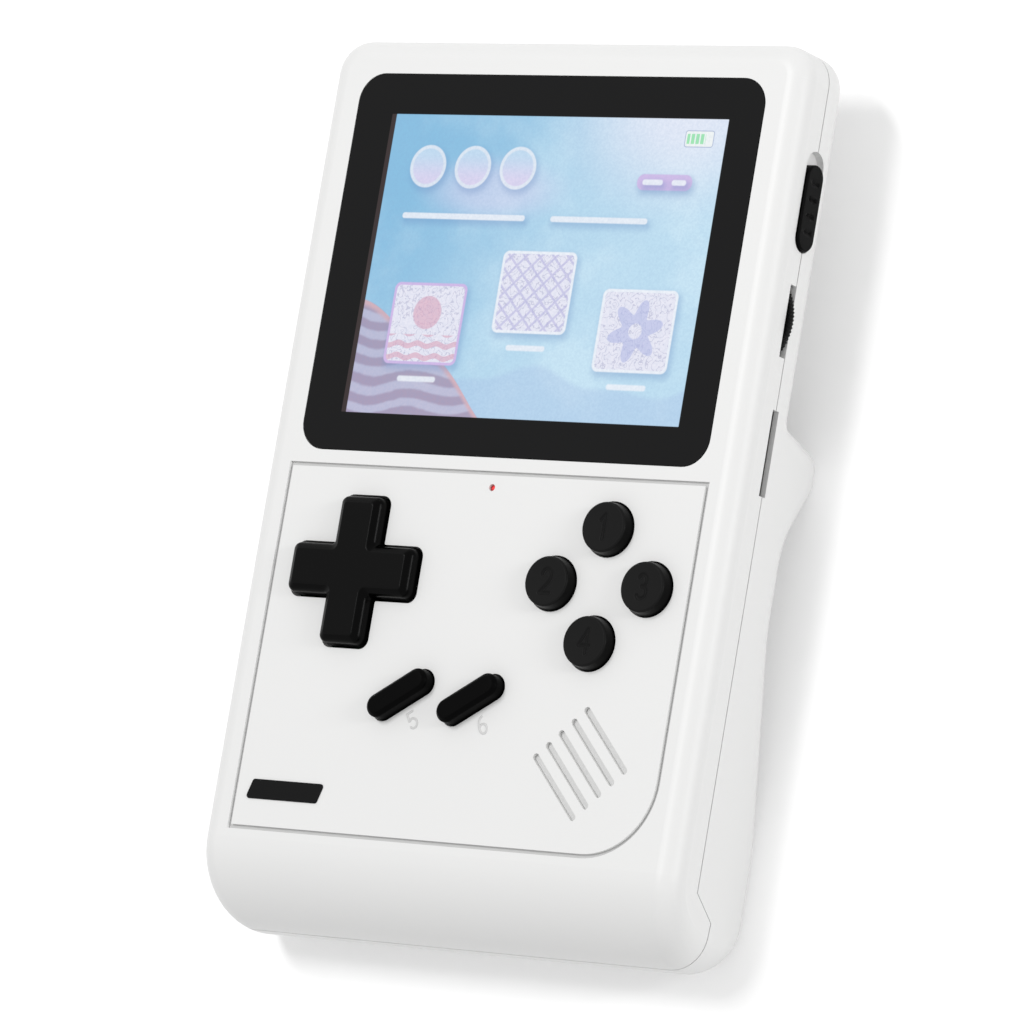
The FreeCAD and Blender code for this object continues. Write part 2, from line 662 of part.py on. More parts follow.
INNER_SIDE_X = "(half_width - side_wall)"
INNER_TOP_Y = "(half_length - side_wall)"
INNER_FRONT = "(body_depth - front_wall)"
LENS_SEAT = "(body_depth - lens_thick)"
FLANGE_TOP = "(body_depth - front_wall - flange_gap)"
FLANGE_LOW = "(body_depth - front_wall - flange_gap - flange_thick)"
PAD_LOW = "(body_depth - front_wall - pad_flange_drop - flange_thick)"
LCD_LOW = "(body_depth - front_wall - lcd_thick)"
KEY_PLACES = {"x": ("0", "1"), "y": ("-1", "0"), "a": ("1", "0"), "b": ("0", "-1")}
MENU_PLACES = {"select": "select_x", "start": "start_x"}
BOARD_SCREWS = [
    ("board_post_x", "board_post_y"),
    ("-board_post_x", "board_post_y"),
    ("0", "board_post_high_y"),
]
OUTSIDE = ("-half_width - tool_reach", "half_width + tool_reach")


def key_middle(letter):
    """Middle of a round key's cap."""
    across, along = KEY_PLACES[letter]
    return (f"keys_x + ({across}) * keys_reach", f"keys_y + ({along}) * keys_reach")


def centred(middle, width):
    """The two ends of a stretch about its middle."""
    return (f"{middle} - ({width}) / 2", f"{middle} + ({width}) / 2")


def box_about(name, x, y, z):
    """A box from three (low, high) stretches."""
    return block(name, (x[0], y[0], z[0]), (x[1], y[1], z[1]))


def rounded_block(name, x, y, z, radius, test=upright):
    """A box with some of its edges rounded."""
    return rounded(name, box_about(name + "_block", x, y, z), [(test, radius, radius)])


def side_stadium(name, middle, length, width, x):
    """A prism along X with round ends, long in Y."""
    straight = f"(({length}) - ({width}))"
    core = box_about(name + "_core", x, centred(middle[0], straight), centred(middle[1], width))
    ends = [
        rod(
            f"{name}_end_{index}",
            f"({width}) / 2",
            (x[0], f"{middle[0]} {sign} {straight} / 2", middle[1]),
            f"({x[1]}) - ({x[0]})",
            "X",
        )
        for index, sign in enumerate("+-")
    ]
    return joined(name, [core] + ends)


def top_stadium(name, x, z, width, height, y):
    """A prism along Y with round ends, wide in X."""
    straight = f"(({width}) - ({height}))"
    core = box_about(name + "_core", centred(x, straight), y, centred(z, height))
    ends = [
        rod(
            f"{name}_end_{index}",
            f"({height}) / 2",
            (f"{x} {sign} {straight} / 2", y[0], z),
            f"({y[1]}) - ({y[0]})",
            "Y",
        )
        for index, sign in enumerate("+-")
    ]
    return joined(name, [core] + ends)


# The seam parts the form into the zone of the front shell and that of the back shell

SEAM_POINTS = [
    ("-half_length - tool_reach", "seam_end"),
    ("-half_length", "seam_end"),
    ("seam_low_y", "seam_low"),
    ("seam_step_y", "seam_height"),
    ("half_length + tool_reach", "seam_height"),
]
SEAM_TOP = [
    ("half_length + tool_reach", "body_depth + tool_reach"),
    ("-half_length - tool_reach", "body_depth + tool_reach"),
]
SEAM_RAISED = [(y, f"{z} + seam_line") for y, z in reversed(SEAM_POINTS)]

upper_zone = side_prism("upper_zone", SEAM_POINTS + SEAM_TOP, *OUTSIDE)
seam_band = side_prism("seam_band", SEAM_POINTS + SEAM_RAISED, *OUTSIDE)
seam_core = rounded_block(
    "seam_core",
    centred("0", "body_width - 2 * seam_line_depth"),
    centred("0", "body_length - 2 * seam_line_depth"),
    ("0", "body_depth"),
    size("top_corner") - size("seam_line_depth"),
)
seam_line = cut("seam_line", seam_band, [seam_core])

# Openings that cross the seam in the right side and the top edge

recess = side_stadium(
    "recess",
    ("switch_y", "switch_z"),
    "recess_length",
    "recess_width",
    ("half_width - recess_depth", OUTSIDE[1]),
)
stem_slot = box_about(
    "stem_slot",
    (f"{INNER_SIDE_X} - tool_reach", "half_width"),
    centred("switch_y", "stem_length + slider_travel + 2 * stem_gap"),
    centred("switch_z", "stem_width + 2 * stem_gap"),
)
wheel_slot = box_about(
    "wheel_slot",
    (f"{INNER_SIDE_X} - tool_reach", OUTSIDE[1]),
    centred("wheel_y", "wheel_slot"),
    ("wheel_slot_low", "wheel_slot_high"),
)
card_slot = box_about(
    "card_slot",
    (f"{INNER_SIDE_X} - tool_reach", OUTSIDE[1]),
    centred("card_y", "card_slot_length"),
    ("card_slot_low", "card_slot_high"),
)
card_pocket = box_about(
    "card_pocket",
    (f"{INNER_SIDE_X} - tool_reach", "half_width - card_lip"),
    centred("card_y", "card_socket_length + 2 * socket_gap"),
    ("board_top - socket_gap", "board_top + card_socket_height + socket_gap"),
)
WALL_RUN = (f"{INNER_TOP_Y} - tool_reach", "half_length + tool_reach")
usb_hole = top_stadium(
    "usb_hole",
    "usb_x",
    "usb_z",
    "usb_width + 2 * usb_gap",
    "usb_height + 2 * usb_gap",
    WALL_RUN,
)
jack_hole = rod(
    "jack_hole",
    "jack_collar + jack_gap",
    ("jack_x", WALL_RUN[0], "jack_z"),
    f"{WALL_RUN[1]} - ({WALL_RUN[0]})",
    "Y",
)
WHEEL_X = "(half_width + wheel_proud - wheel_radius)"
wheel_room = rod(
    "wheel_room",
    "wheel_radius + wheel_room_gap",
    (WHEEL_X, "wheel_y", "wheel_slot_low"),
    "wheel_slot_high - wheel_slot_low",
)
EDGE_OPENINGS = [recess, stem_slot, wheel_slot, wheel_room]
EDGE_OPENINGS += [card_slot, card_pocket, usb_hole, jack_hole]

# Front shell


def cross_corners(span, arm):
    """Corners of a cross about the origin, from its span and the width of its arms."""
    tip = f"({span}) / 2"
    side = f"({arm}) / 2"
    quarter = [(tip, side), (side, side), (side, tip)]
    corners = [(x, y) for x, y in quarter]
    corners += [(f"-{x}", y) for x, y in reversed(quarter)]
    corners += [(f"-{x}", f"-{y}") for x, y in quarter]
    corners += [(x, f"-{y}") for x, y in reversed(quarter)]
    return corners


THROUGH_FRONT = (f"{INNER_FRONT} - tool_reach", "body_depth + tool_reach")

lens_pocket = rounded_block(
    "lens_pocket",
    centred("0", "lens_width + 2 * lens_gap"),
    centred("lens_y", "lens_length + 2 * lens_gap"),
    (LENS_SEAT, "body_depth + tool_reach"),
    size("lens_corner") + size("lens_gap"),
)
view_opening = box_about(
    "view_opening",
    centred("view_x", "view_width + 2 * view_margin"),
    centred("view_y", "view_length + 2 * view_margin"),
    THROUGH_FRONT,
)
pad_hole_cross = plan_prism(
    "pad_hole_cross",
    [
        (f"pad_x + {x}", f"pad_y + {y}")
        for x, y in cross_corners("pad_span + 2 * pad_gap", "pad_arm + 2 * pad_gap")
    ],
    *THROUGH_FRONT,
)
HOLE_CORNER = size("pad_corner") + size("pad_gap")
HOLE_CROOK = size("pad_crook") - size("pad_gap")


def hole_tip(edge, middle, direction):
    """Picks the eight outer corners of the cross pad's hole."""
    reach = max(abs(middle.x - worked_out("pad_x")), abs(middle.y - worked_out("pad_y")))
    return upright(edge, middle, direction) and reach > size("pad_span") / 2


def hole_crook(edge, middle, direction):
    """Picks the four inner corners of the cross pad's hole."""
    return upright(edge, middle, direction) and not hole_tip(edge, middle, direction)


pad_hole = rounded(
    "pad_hole",
    pad_hole_cross,
    [(hole_tip, HOLE_CORNER, HOLE_CORNER), (hole_crook, HOLE_CROOK, HOLE_CROOK)],
)
key_holes = [
    rod(
        f"key_hole_{letter}",
        "key_radius + key_gap",
        (*key_middle(letter), THROUGH_FRONT[0]),
        "front_wall + 2 * tool_reach",
    )
    for letter in KEY_PLACES
]
menu_holes = [
    stadium(
        f"{name}_hole",
        "menu_length + 2 * key_gap",
        "menu_width + 2 * key_gap",
        *THROUGH_FRONT,
        (x, "menu_y"),
        "menu_angle",
    )
    for name, x in MENU_PLACES.items()
]
sound_slots = [
    stadium(
        f"sound_slot_{index + 3}",
        "slot_length",
        "slot_width",
        *THROUGH_FRONT,
        (
            f"speaker_x - ({index}) * slot_pitch * sin(slot_angle)",
            f"speaker_y + ({index}) * slot_pitch * cos(slot_angle)",
        ),
        "slot_angle",
    )
    for index in range(-2, 3)
]
led_hole = rod(
    "led_hole",
    "led_radius + led_gap",
    ("led_x", "led_y", THROUGH_FRONT[0]),
    "front_wall + 2 * tool_reach",
)


def lower_right(edge, middle, direction):
    """Picks the panel's rounded corner."""
    return upright(edge, middle, direction) and middle.x > 0 and middle.y < worked_out("keys_y")


def panel_prism(name, shift, low_z):
    """The control panel's outline moved out by a shift, with its one round corner."""
    return rounded_block(
        name,
        (f"panel_left - {shift}", f"panel_right + {shift}"),
        (f"panel_bottom - {shift}", f"panel_top + {shift}"),
        (low_z, "body_depth + tool_reach"),
        size("panel_corner") + (1 if shift[0] != "-" else -1) * size("panel_line") / 2,
        lower_right,
    )


panel_outside = panel_prism("panel_outside", "panel_line / 2", "body_depth - panel_line_depth")
panel_inside = panel_prism("panel_inside", "-panel_line / 2", "body_depth - 2 * panel_line_depth")
panel_groove = cut("panel_groove", panel_outside, [panel_inside])

upper_form = shared("upper_form", form, upper_zone)
upper_walls = cut("upper_walls", upper_form, [hollow])
bosses = [
    rod(
        f"boss_{index}",
        "boss_radius",
        (x, y, "seam_height"),
        "body_depth - front_wall / 2 - seam_height",
    )
    for index, (x, y) in enumerate(SCREW_PLACES)
]
board_posts = [
    rod(
        f"board_post_{index}",
        "post_thick",
        (x, y, "board_top"),
        "body_depth - front_wall / 2 - board_top",
    )
    for index, (x, y) in enumerate(BOARD_SCREWS)
]
upper_body = joined("upper_body", [upper_walls] + bosses + board_posts)
boss_holes = [
    rod(
        f"boss_hole_{index}",
        "screw_shank + screw_fit",
        (x, y, "seam_height - tool_reach"),
        "screw_reach + screw_slack - seam_height + tool_reach",
    )
    for index, (x, y) in enumerate(SCREW_PLACES)
]
post_holes = [
    rod(
        f"post_hole_{index}",
        "screw_shank + screw_fit",
        (x, y, "board_top - tool_reach"),
        "screw_reach + screw_slack - board_top + tool_reach",
    )
    for index, (x, y) in enumerate(BOARD_SCREWS)
]
front_tools = [lens_pocket, view_opening, pad_hole, led_hole, panel_groove, seam_line]
front_tools += key_holes + menu_holes + sound_slots + boss_holes + post_holes
front_shell = cut("front_shell", upper_body, front_tools + EDGE_OPENINGS)

# Battery bay and its cover

BAY_HALF = "((cell_length + contact_space + 2 * cell_gap) / 2)"
COVER_HIGH_Z = "waist_height + back_wall + tool_reach"

bay_block = box_about(
    "bay_block",
    centred("0", f"2 * {BAY_HALF} + 2 * bay_wall"),
    ("bay_low_y - bay_wall", "bay_high_y + bay_wall"),
    ("0", "bay_ceiling + bay_roof"),
)
bay_room = box_about(
    "bay_room",
    centred("0", f"2 * {BAY_HALF}"),
    ("bay_low_y", "bay_high_y"),
    ("-tool_reach", "bay_ceiling"),
)
raised_hollow = place(grouped("raised_hollow", [hollow]), z="cover_rest")
cover_opening = cut(
    "cover_opening",
    box_about(
        "cover_opening_block",
        centred("0", f"2 * {BAY_HALF} + 2 * bay_ledge"),
        ("bay_low_y - bay_ledge", "bay_high_y + bay_ledge"),
        ("-tool_reach", COVER_HIGH_Z),
    ),
    [raised_hollow],
)
TAB_LOW = "(back_wall + tab_lift)"
tab_slots = [
    box_about(
        f"tab_slot_{side}",
        centred(f"{side}tab_x", "tab_width + 2 * cover_gap"),
        ("bay_low_y - bay_wall - tool_reach", "bay_low_y + tool_reach"),
        (f"{TAB_LOW} - cover_gap", f"{TAB_LOW} + 2 * tab_thick + cover_gap"),
    )
    for side in ("-", "+")
]
tab_steps = [
    box_about(
        f"tab_step_{side}",
        centred(f"{side}tab_x", "tab_width + 2 * cover_gap"),
        ("bay_low_y - bay_ledge", "bay_low_y + tool_reach"),
        ("back_wall", TAB_LOW),
    )
    for side in ("-", "+")
]
NOTCH_Y = "(bay_high_y + bay_ledge)"
finger_notch = rod(
    "finger_notch",
    "notch_radius",
    (
        "-notch_width / 2",
        NOTCH_Y,
        f"({NOTCH_Y} - land_y) * slope + notch_depth - notch_radius",
    ),
    "notch_width",
    "X",
)

# Back shell, with the ridge for the fingers

lower_form = cut("lower_form", form, [upper_zone])
lower_walls = cut("lower_walls", lower_form, [hollow])
pillar_rods = joined(
    "pillar_rods",
    [
        rod(f"pillar_{index}", "pillar_radius", (x, y, "0"), "seam_height")
        for index, (x, y) in enumerate(SCREW_PLACES)
    ],
)
pillars = shared("pillars", pillar_rods, lower_form)
bay_walls = shared("bay_walls", bay_block, lower_form)
TRIGGER_SIDES = {"left": "-", "right": "+"}
rib_blocks = []
board_slots = []
for name, side in TRIGGER_SIDES.items():
    board_y = ("trigger_board_y", "trigger_board_y + trigger_board_thick")
    for end in "-+":
        board_end = f"{side}trigger_x {end} trigger_board_width / 2"
        rib_blocks.append(
            box_about(
                f"{name}_rib_{'low' if end == '-' else 'high'}",
                centred(board_end, "2 * rib_thick"),
                (f"{board_y[0]} - rib_thick", f"{board_y[1]} + rib_thick"),
                ("0", "rib_top"),
            )
        )
    board_slots.append(
        box_about(
            f"{name}_board_slot",
            centred(f"{side}trigger_x", "trigger_board_width + 2 * board_fit"),
            (f"{board_y[0]} - board_fit", f"{board_y[1]} + board_fit"),
            ("trigger_board_low - board_fit", "rib_top + tool_reach"),
        )
    )
ribs = shared("ribs", joined("rib_blocks", rib_blocks), lower_form)
lower_body = joined("lower_body", [lower_walls, pillars, bay_walls, ribs])
screw_wells = [
    rod(
        f"screw_well_{index}",
        "screw_head + screw_slack",
        (x, y, "-tool_reach"),
        "screw_seat + tool_reach",
    )
    for index, (x, y) in enumerate(SCREW_PLACES)
]
pillar_holes = [
    rod(
        f"pillar_hole_{index}",
        "screw_shank + screw_slack",
        (x, y, "0"),
        "seam_height + tool_reach",
    )
    for index, (x, y) in enumerate(SCREW_PLACES)
]


def flank_y(shift):
    """The ridge's upper flank moved along Y, as (y, z) at a height."""
    return lambda z: (f"ridge_crest_y + ({z}) * {FLANK_LEAN} + {shift}", z)


def flank_slab(name, back, front, low_z, high_z, x):
    """A slab parallel to the ridge's flank between two shifts and two heights."""
    inner = flank_y(back)
    outer = flank_y(front)
    corners = [inner(low_z), outer(low_z), outer(high_z), inner(high_z)]
    return side_prism(name, corners, *x)


trigger_holes = [
    flank_slab(
        f"{name}_trigger_hole",
        f"-{FLANK_SHIFT} - tool_reach / 2",
        "tool_reach",
        "trigger_low - trigger_gap",
        "trigger_high + trigger_gap",
        centred(f"{side}trigger_x", "trigger_width + 2 * trigger_gap"),
    )
    for name, side in TRIGGER_SIDES.items()
]
back_tools = screw_wells + pillar_holes + trigger_holes + board_slots + EDGE_OPENINGS
back_tools += [bay_room, cover_opening, finger_notch] + tab_slots + tab_steps
back_shell = cut("back_shell", lower_body, back_tools)

# Battery cover: a plate of the back wall with tabs, and ribs under the cell

COVER_LOW_Y = "(bay_low_y - bay_ledge + cover_gap)"
cover_plate = cut(
    "cover_plate",
    shared(
        "cover_form",
        form,
        box_about(
            "cover_block",
            centred("0", f"2 * {BAY_HALF} + 2 * bay_ledge - 2 * cover_gap"),
            (COVER_LOW_Y, "bay_high_y + bay_ledge - cover_end_gap"),
            ("-tool_reach", COVER_HIGH_Z),
        ),
    ),
    [hollow],
)
cover_tabs = []
for side in ("-", "+"):
    across = centred(f"{side}tab_x", "tab_width")
    cover_tabs.append(
        box_about(
            f"tab_{side}",
            across,
            (f"{COVER_LOW_Y} - cover_gap - tab_reach", f"{COVER_LOW_Y} + bay_ledge"),
            (TAB_LOW, f"{TAB_LOW} + tab_thick"),
        )
    )
    cover_tabs.append(
        box_about(
            f"tab_root_{side}",
            across,
            (COVER_LOW_Y, f"{COVER_LOW_Y} + bay_ledge"),
            ("back_wall / 2", TAB_LOW),
        )
    )
RIB_LOW_Y = "(bay_low_y + bay_wall)"
RIB_HIGH_Y = "(bay_high_y - cell_width / 3)"
cover_ribs = [
    side_prism(
        f"cover_rib_{index}",
        [
            (RIB_LOW_Y, "back_wall / 2"),
            ("land_y", "back_wall / 2"),
            (RIB_HIGH_Y, f"({RIB_HIGH_Y} - land_y) * slope + back_wall / 2"),
            (RIB_HIGH_Y, "cell_low - cover_rest"),
            (RIB_LOW_Y, "cell_low - cover_rest"),
        ],
        *centred(f"({index}) * tab_x", "rib_width"),
    )
    for index in (-1, 0, 1)
]
battery_cover = joined("battery_cover", [cover_plate] + cover_tabs + cover_ribs)
CELL_X = f"-{BAY_HALF} + cell_gap"
battery = rounded_block(
    "battery",
    (CELL_X, f"{CELL_X} + cell_length"),
    ("bay_low_y + cell_gap", "bay_low_y + cell_gap + cell_width"),
    ("cell_low", "cell_low + cell_thick"),
    size("cell_corner"),
)
battery_contacts = grouped(
    "battery_contacts",
    [
        box_about(
            f"contact_{index}",
            (f"{CELL_X} + cell_length", BAY_HALF),
            centred(f"bay_low_y + cell_width / 2 + ({index}) * contact_pitch", "contact_width"),
            ("cell_low + cell_thick / 4", "cell_low + cell_thick * 3 / 4"),
        )
        for index in (-1, 0, 1)
    ],
)

# Screws of both kinds share one form


def screw(name, x, y, head_low, head_height):
    """A screw with its head down and its shank up to the common reach."""
    head = rod(name + "_head", "screw_head", (x, y, head_low), head_height)
    shank = rod(name + "_shank", "screw_shank", (x, y, head_low), f"screw_reach - ({head_low})")
    return joined(name, [head, shank])


shell_screws = grouped(
    "shell_screws",
    [
        screw(f"shell_screw_{index}", x, y, "screw_seat - screw_head_height", "screw_head_height")
        for index, (x, y) in enumerate(SCREW_PLACES)
    ],
)
board_screws = grouped(
    "board_screws",
    [
        screw(f"board_screw_{index}", x, y, "board_low - screw_head_height", "screw_head_height")
        for index, (x, y) in enumerate(BOARD_SCREWS)
    ],
)

# Board, display and what is soldered to the board

USB_Y = ("half_length - usb_inset - usb_deep", "half_length - usb_inset")
JACK_BACK_Y = "(half_length - jack_depth - jack_wall)"
board_blank = box_about(
    "board_blank",
    centred("0", "body_width - 2 * side_wall - 2 * board_edge"),
    ("board_end_y", f"{INNER_TOP_Y} - board_edge"),
    ("board_low", "board_top"),
)
board_tools = [
    rod(
        f"board_notch_{index}",
        "pillar_radius + board_notch",
        (x, y, "board_low - tool_reach"),
        "board_thick + 2 * tool_reach",
    )
    for index, (x, y) in enumerate(SCREW_PLACES)
]
board_tools += [
    rod(
        f"board_hole_{index}",
        "screw_shank + screw_slack",
        (x, y, "board_low - tool_reach"),
        "board_thick + 2 * tool_reach",
    )
    for index, (x, y) in enumerate(BOARD_SCREWS)
]
THROUGH_BOARD = ("board_low - tool_reach", "board_top + tool_reach")
board_tools.append(
    box_about(
        "usb_notch",
        centred("usb_x", "usb_width + 2 * board_notch"),
        (f"{USB_Y[0]} - board_notch", "half_length"),
        THROUGH_BOARD,
    )
)
board_tools.append(
    box_about(
        "jack_notch",
        centred("jack_x", "jack_width + 2 * board_notch"),
        (f"{JACK_BACK_Y} - board_notch", "half_length"),
        THROUGH_BOARD,
    )
)
main_board = cut("main_board", board_blank, board_tools)

lcd_module = box_about(
    "lcd_module",
    centred("view_x", "lcd_width"),
    centred("view_y", "lcd_length"),
    (LCD_LOW, INNER_FRONT),
)
LCD_END_Y = "(view_y - lcd_length / 2)"
lcd_flex = side_prism(
    "lcd_flex",
    [
        (LCD_END_Y, f"{LCD_LOW} + 2 * flex_thick"),
        (f"{LCD_END_Y} - flex_loop", f"{LCD_LOW} + 2 * flex_thick"),
        (f"{LCD_END_Y} - flex_loop", "board_top"),
        (f"{LCD_END_Y} + flex_loop", "board_top"),
        (f"{LCD_END_Y} + flex_loop", "board_top + flex_thick"),
        (f"{LCD_END_Y} - flex_loop + flex_thick", "board_top + flex_thick"),
        (f"{LCD_END_Y} - flex_loop + flex_thick", f"{LCD_LOW} + flex_thick"),
        (LCD_END_Y, f"{LCD_LOW} + flex_thick"),
    ],
    *centred("flex_x", "flex_width"),
)
speaker = joined(
    "speaker",
    [
        rod(
            "speaker_frame",
            "speaker_radius",
            ("speaker_x", "speaker_y", f"{INNER_FRONT} - speaker_gap - speaker_thick / 2"),
            "speaker_thick / 2",
        ),
        rod(
            "speaker_magnet",
            "speaker_radius * 0.6",
            ("speaker_x", "speaker_y", f"{INNER_FRONT} - speaker_gap - speaker_thick"),
            "speaker_thick",
        ),
    ],
)
led_guide = joined(
    "led_guide",
    [
        rod(
            "led_stem",
            "led_radius",
            ("led_x", "led_y", "board_top + led_chip_height"),
            "body_depth - board_top - led_chip_height",
        ),
        rod(
            "led_collar",
            "led_radius + led_flange",
            ("led_x", "led_y", f"{INNER_FRONT} - flange_thick"),
            "flange_thick",
        ),
    ],
)
led_chip = box_about(
    "led_chip",
    centred("led_x", "led_chip_length"),
    centred("led_y", "led_chip_length / 2"),
    ("board_top", "board_top + led_chip_height"),
)

usb_shell = cut(
    "usb_shell",
    top_stadium("usb_outside", "usb_x", "usb_z", "usb_width", "usb_height", USB_Y),
    [
        top_stadium(
            "usb_inside",
            "usb_x",
            "usb_z",
            "usb_width - 2 * usb_metal",
            "usb_height - 2 * usb_metal",
            (f"{USB_Y[0]} + usb_metal", "half_length"),
        )
    ],
)
usb_tongue = box_about(
    "usb_tongue",
    centred("usb_x", "usb_tongue_width"),
    (USB_Y[0], f"{USB_Y[1]} - usb_metal * 2"),
    centred("usb_z", "usb_tongue_thick"),
)
usb_socket = joined("usb_socket", [usb_shell, usb_tongue])

JACK_FRONT_Y = f"({INNER_TOP_Y} - jack_setback)"
jack_body = box_about(
    "jack_body",
    centred("jack_x", "jack_width"),
    (JACK_BACK_Y, JACK_FRONT_Y),
    centred("jack_z", "jack_height"),
)
jack_collar_rod = rod(
    "jack_collar_rod",
    "jack_collar",
    ("jack_x", f"{JACK_FRONT_Y} - jack_wall", "jack_z"),
    f"half_length - {JACK_FRONT_Y} + jack_wall",
    "Y",
)
jack_bore_rod = rod(
    "jack_bore_rod",
    "jack_bore",
    ("jack_x", "half_length - jack_depth", "jack_z"),
    "jack_depth + tool_reach",
    "Y",
)
audio_jack = cut("audio_jack", joined("jack_solid", [jack_body, jack_collar_rod]), [jack_bore_rod])

CARD_MOUTH_X = "(half_width - card_lip - socket_gap)"
CARD_X = (f"{CARD_MOUTH_X} - card_socket_deep", CARD_MOUTH_X)
card_socket = cut(
    "card_socket",
    box_about(
        "card_case",
        CARD_X,
        centred("card_y", "card_socket_length"),
        ("board_top", "board_top + card_socket_height"),
    ),
    [
        box_about(
            "card_room",
            (f"{CARD_X[0]} + sheet_metal", OUTSIDE[1]),
            centred("card_y", "card_slot_length"),
            ("board_top + sheet_metal", "board_top + card_socket_height - sheet_metal"),
        )
    ],
)

# Power switch and its slider

SLIDER_LENGTH = "(recess_length - slider_travel - 2 * slider_gap)"
SLIDER_Y = "(switch_y - slider_travel / 2)"
SWITCH_X = (f"{INNER_SIDE_X} - socket_gap - switch_deep", f"{INNER_SIDE_X} - socket_gap")
power_switch = cut(
    "power_switch",
    box_about(
        "switch_case",
        SWITCH_X,
        centred("switch_y", "switch_length"),
        ("board_top", "board_top + switch_height"),
    ),
    [
        box_about(
            "switch_slot",
            (f"{SWITCH_X[1]} - stem_reach - stem_gap", OUTSIDE[1]),
            centred("switch_y", "stem_length + slider_travel + 2 * stem_gap"),
            centred("switch_z", "stem_width + 2 * stem_gap"),
        )
    ],
)
slider_cap = side_stadium(
    "slider_cap",
    (SLIDER_Y, "switch_z"),
    SLIDER_LENGTH,
    "recess_width - 2 * slider_gap",
    ("half_width - recess_depth + stem_gap", "half_width + slider_proud"),
)
slider_grooves = [
    box_about(
        f"slider_groove_{index}",
        ("half_width + slider_proud - slider_groove", OUTSIDE[1]),
        centred(f"{SLIDER_Y} + ({index} - 1.5) * slider_pitch", "2 * slider_groove"),
        centred("switch_z", "recess_width"),
    )
    for index in range(4)
]
slider_stem = box_about(
    "slider_stem",
    (f"{SWITCH_X[1]} - stem_reach", "half_width"),
    centred(SLIDER_Y, "stem_length"),
    centred("switch_z", "stem_width"),
)
power_slider = joined("power_slider", [cut("ribbed_cap", slider_cap, slider_grooves), slider_stem])

# PartDesign helpers for the turned and moulded pieces


def new_body(label):
    """An empty body under its node's name."""
    item = doc.addObject("PartDesign::Body", label)
    item.Label = label
    return item


def body_sketch(owner, name, role, height="0"):
    """An empty sketch on one of a body's own origin planes, moved along its normal."""
    sketch = owner.newObject("Sketcher::SketchObject", name)
    plane = next(item for item in owner.Origin.OriginFeatures if item.Role == role)
    sketch.AttachmentSupport = [(plane, "")]
    sketch.MapMode = "FlatFace"
    bind(sketch, "AttachmentOffset.Base.z", height)
    return sketch


def circle_sketch(sketch, radius, x="0", y="0"):
    """A circle tied to its radius and its middle."""
    sketch.addGeometry(Part.Circle(Vector(1, 1, 0), Vector(0, 0, 1), 1))
    for kind, expression in (("DistanceX", x), ("DistanceY", y)):
        number = sketch.addConstraint(Sketcher.Constraint(kind, -1, 1, 0, 3, 1.0))
        bind(sketch, f"Constraints[{number}]", expression)
    number = sketch.addConstraint(Sketcher.Constraint("Radius", 0, 1.0))
    bind(sketch, f"Constraints[{number}]", radius)
    return sketch


def stadium_sketch(sketch, length, width):
    """Two parallel lines closed by two half circles, about the origin."""
    middle = 3.6
    radius = 1.75
    sketch.addGeometry(
        Part.LineSegment(Vector(-middle, -radius, 0), Vector(middle, -radius, 0))
    )
    right = Part.Circle(Vector(middle, 0, 0), Vector(0, 0, 1), radius)
    sketch.addGeometry(Part.ArcOfCircle(right, -math.pi / 2, math.pi / 2))
    sketch.addGeometry(
        Part.LineSegment(Vector(middle, radius, 0), Vector(-middle, radius, 0))
    )
    left = Part.Circle(Vector(-middle, 0, 0), Vector(0, 0, 1), radius)
    sketch.addGeometry(Part.ArcOfCircle(left, math.pi / 2, 3 * math.pi / 2))
    for index in range(4):
        touching = Sketcher.Constraint("Tangent", index, 2, (index + 1) % 4, 1)
        sketch.addConstraint(touching)
    sketch.addConstraint(Sketcher.Constraint("Equal", 1, 3))
    sketch.addConstraint(Sketcher.Constraint("PointOnObject", 1, 3, -1))
    sketch.addConstraint(Sketcher.Constraint("PointOnObject", 3, 3, -1))
    number = sketch.addConstraint(Sketcher.Constraint("DistanceX", -1, 1, 1, 3, middle))
    bind(sketch, f"Constraints[{number}]", f"(({length}) - ({width})) / 2")
    number = sketch.addConstraint(Sketcher.Constraint("DistanceX", 3, 3, -1, 1, middle))
    bind(sketch, f"Constraints[{number}]", f"(({length}) - ({width})) / 2")
    number = sketch.addConstraint(Sketcher.Constraint("Radius", 1, radius))
    bind(sketch, f"Constraints[{number}]", f"({width}) / 2")
    return sketch


def pad_feature(owner, name, sketch, length):
    """Pads a sketch along its normal."""
    item = owner.newObject("PartDesign::Pad", name)
    item.Profile = sketch
    bind(item, "Length", length)
    return item


def body_rounds(owner, name, base, test, radius):
    """Rounds the edges of the last feature that pass a test."""
    doc.recompute()
    item = owner.newObject("PartDesign::Fillet", name)
    item.Base = (base, [f"Edge{number}" for number in edges_along(base.Shape, test)])
    bind(item, "Radius", radius)
    return item


def body_bevel(owner, name, base, test, depth):
    """Bevels the edges of the last feature that pass a test."""
    doc.recompute()
    item = owner.newObject("PartDesign::Chamfer", name)
    item.Base = (base, [f"Edge{number}" for number in edges_along(base.Shape, test)])
    bind(item, "Size", depth)
    return item


def at_height(height):
    """Picks the edges that lie flat at one height."""
    return lambda edge, middle, direction: (
        abs(middle.z - height) < 0.001 and abs(direction.z) < 0.001
    )


FRONT_Z = size("body_depth")

screen_lens = new_body("screen_lens")
lens_sketch = body_sketch(screen_lens, "lens_sketch", "XY_Plane", LENS_SEAT)
closed_sketch(
    lens_sketch,
    [
        ("-lens_width / 2", "-lens_length / 2"),
        ("lens_width / 2", "-lens_length / 2"),
        ("lens_width / 2", "lens_length / 2"),
        ("-lens_width / 2", "lens_length / 2"),
    ],
)
lens_pad = pad_feature(screen_lens, "lens_pad", lens_sketch, "lens_thick")
lens_corners = body_rounds(screen_lens, "lens_corners", lens_pad, upright, "lens_corner")
place(screen_lens, "0", "lens_y")

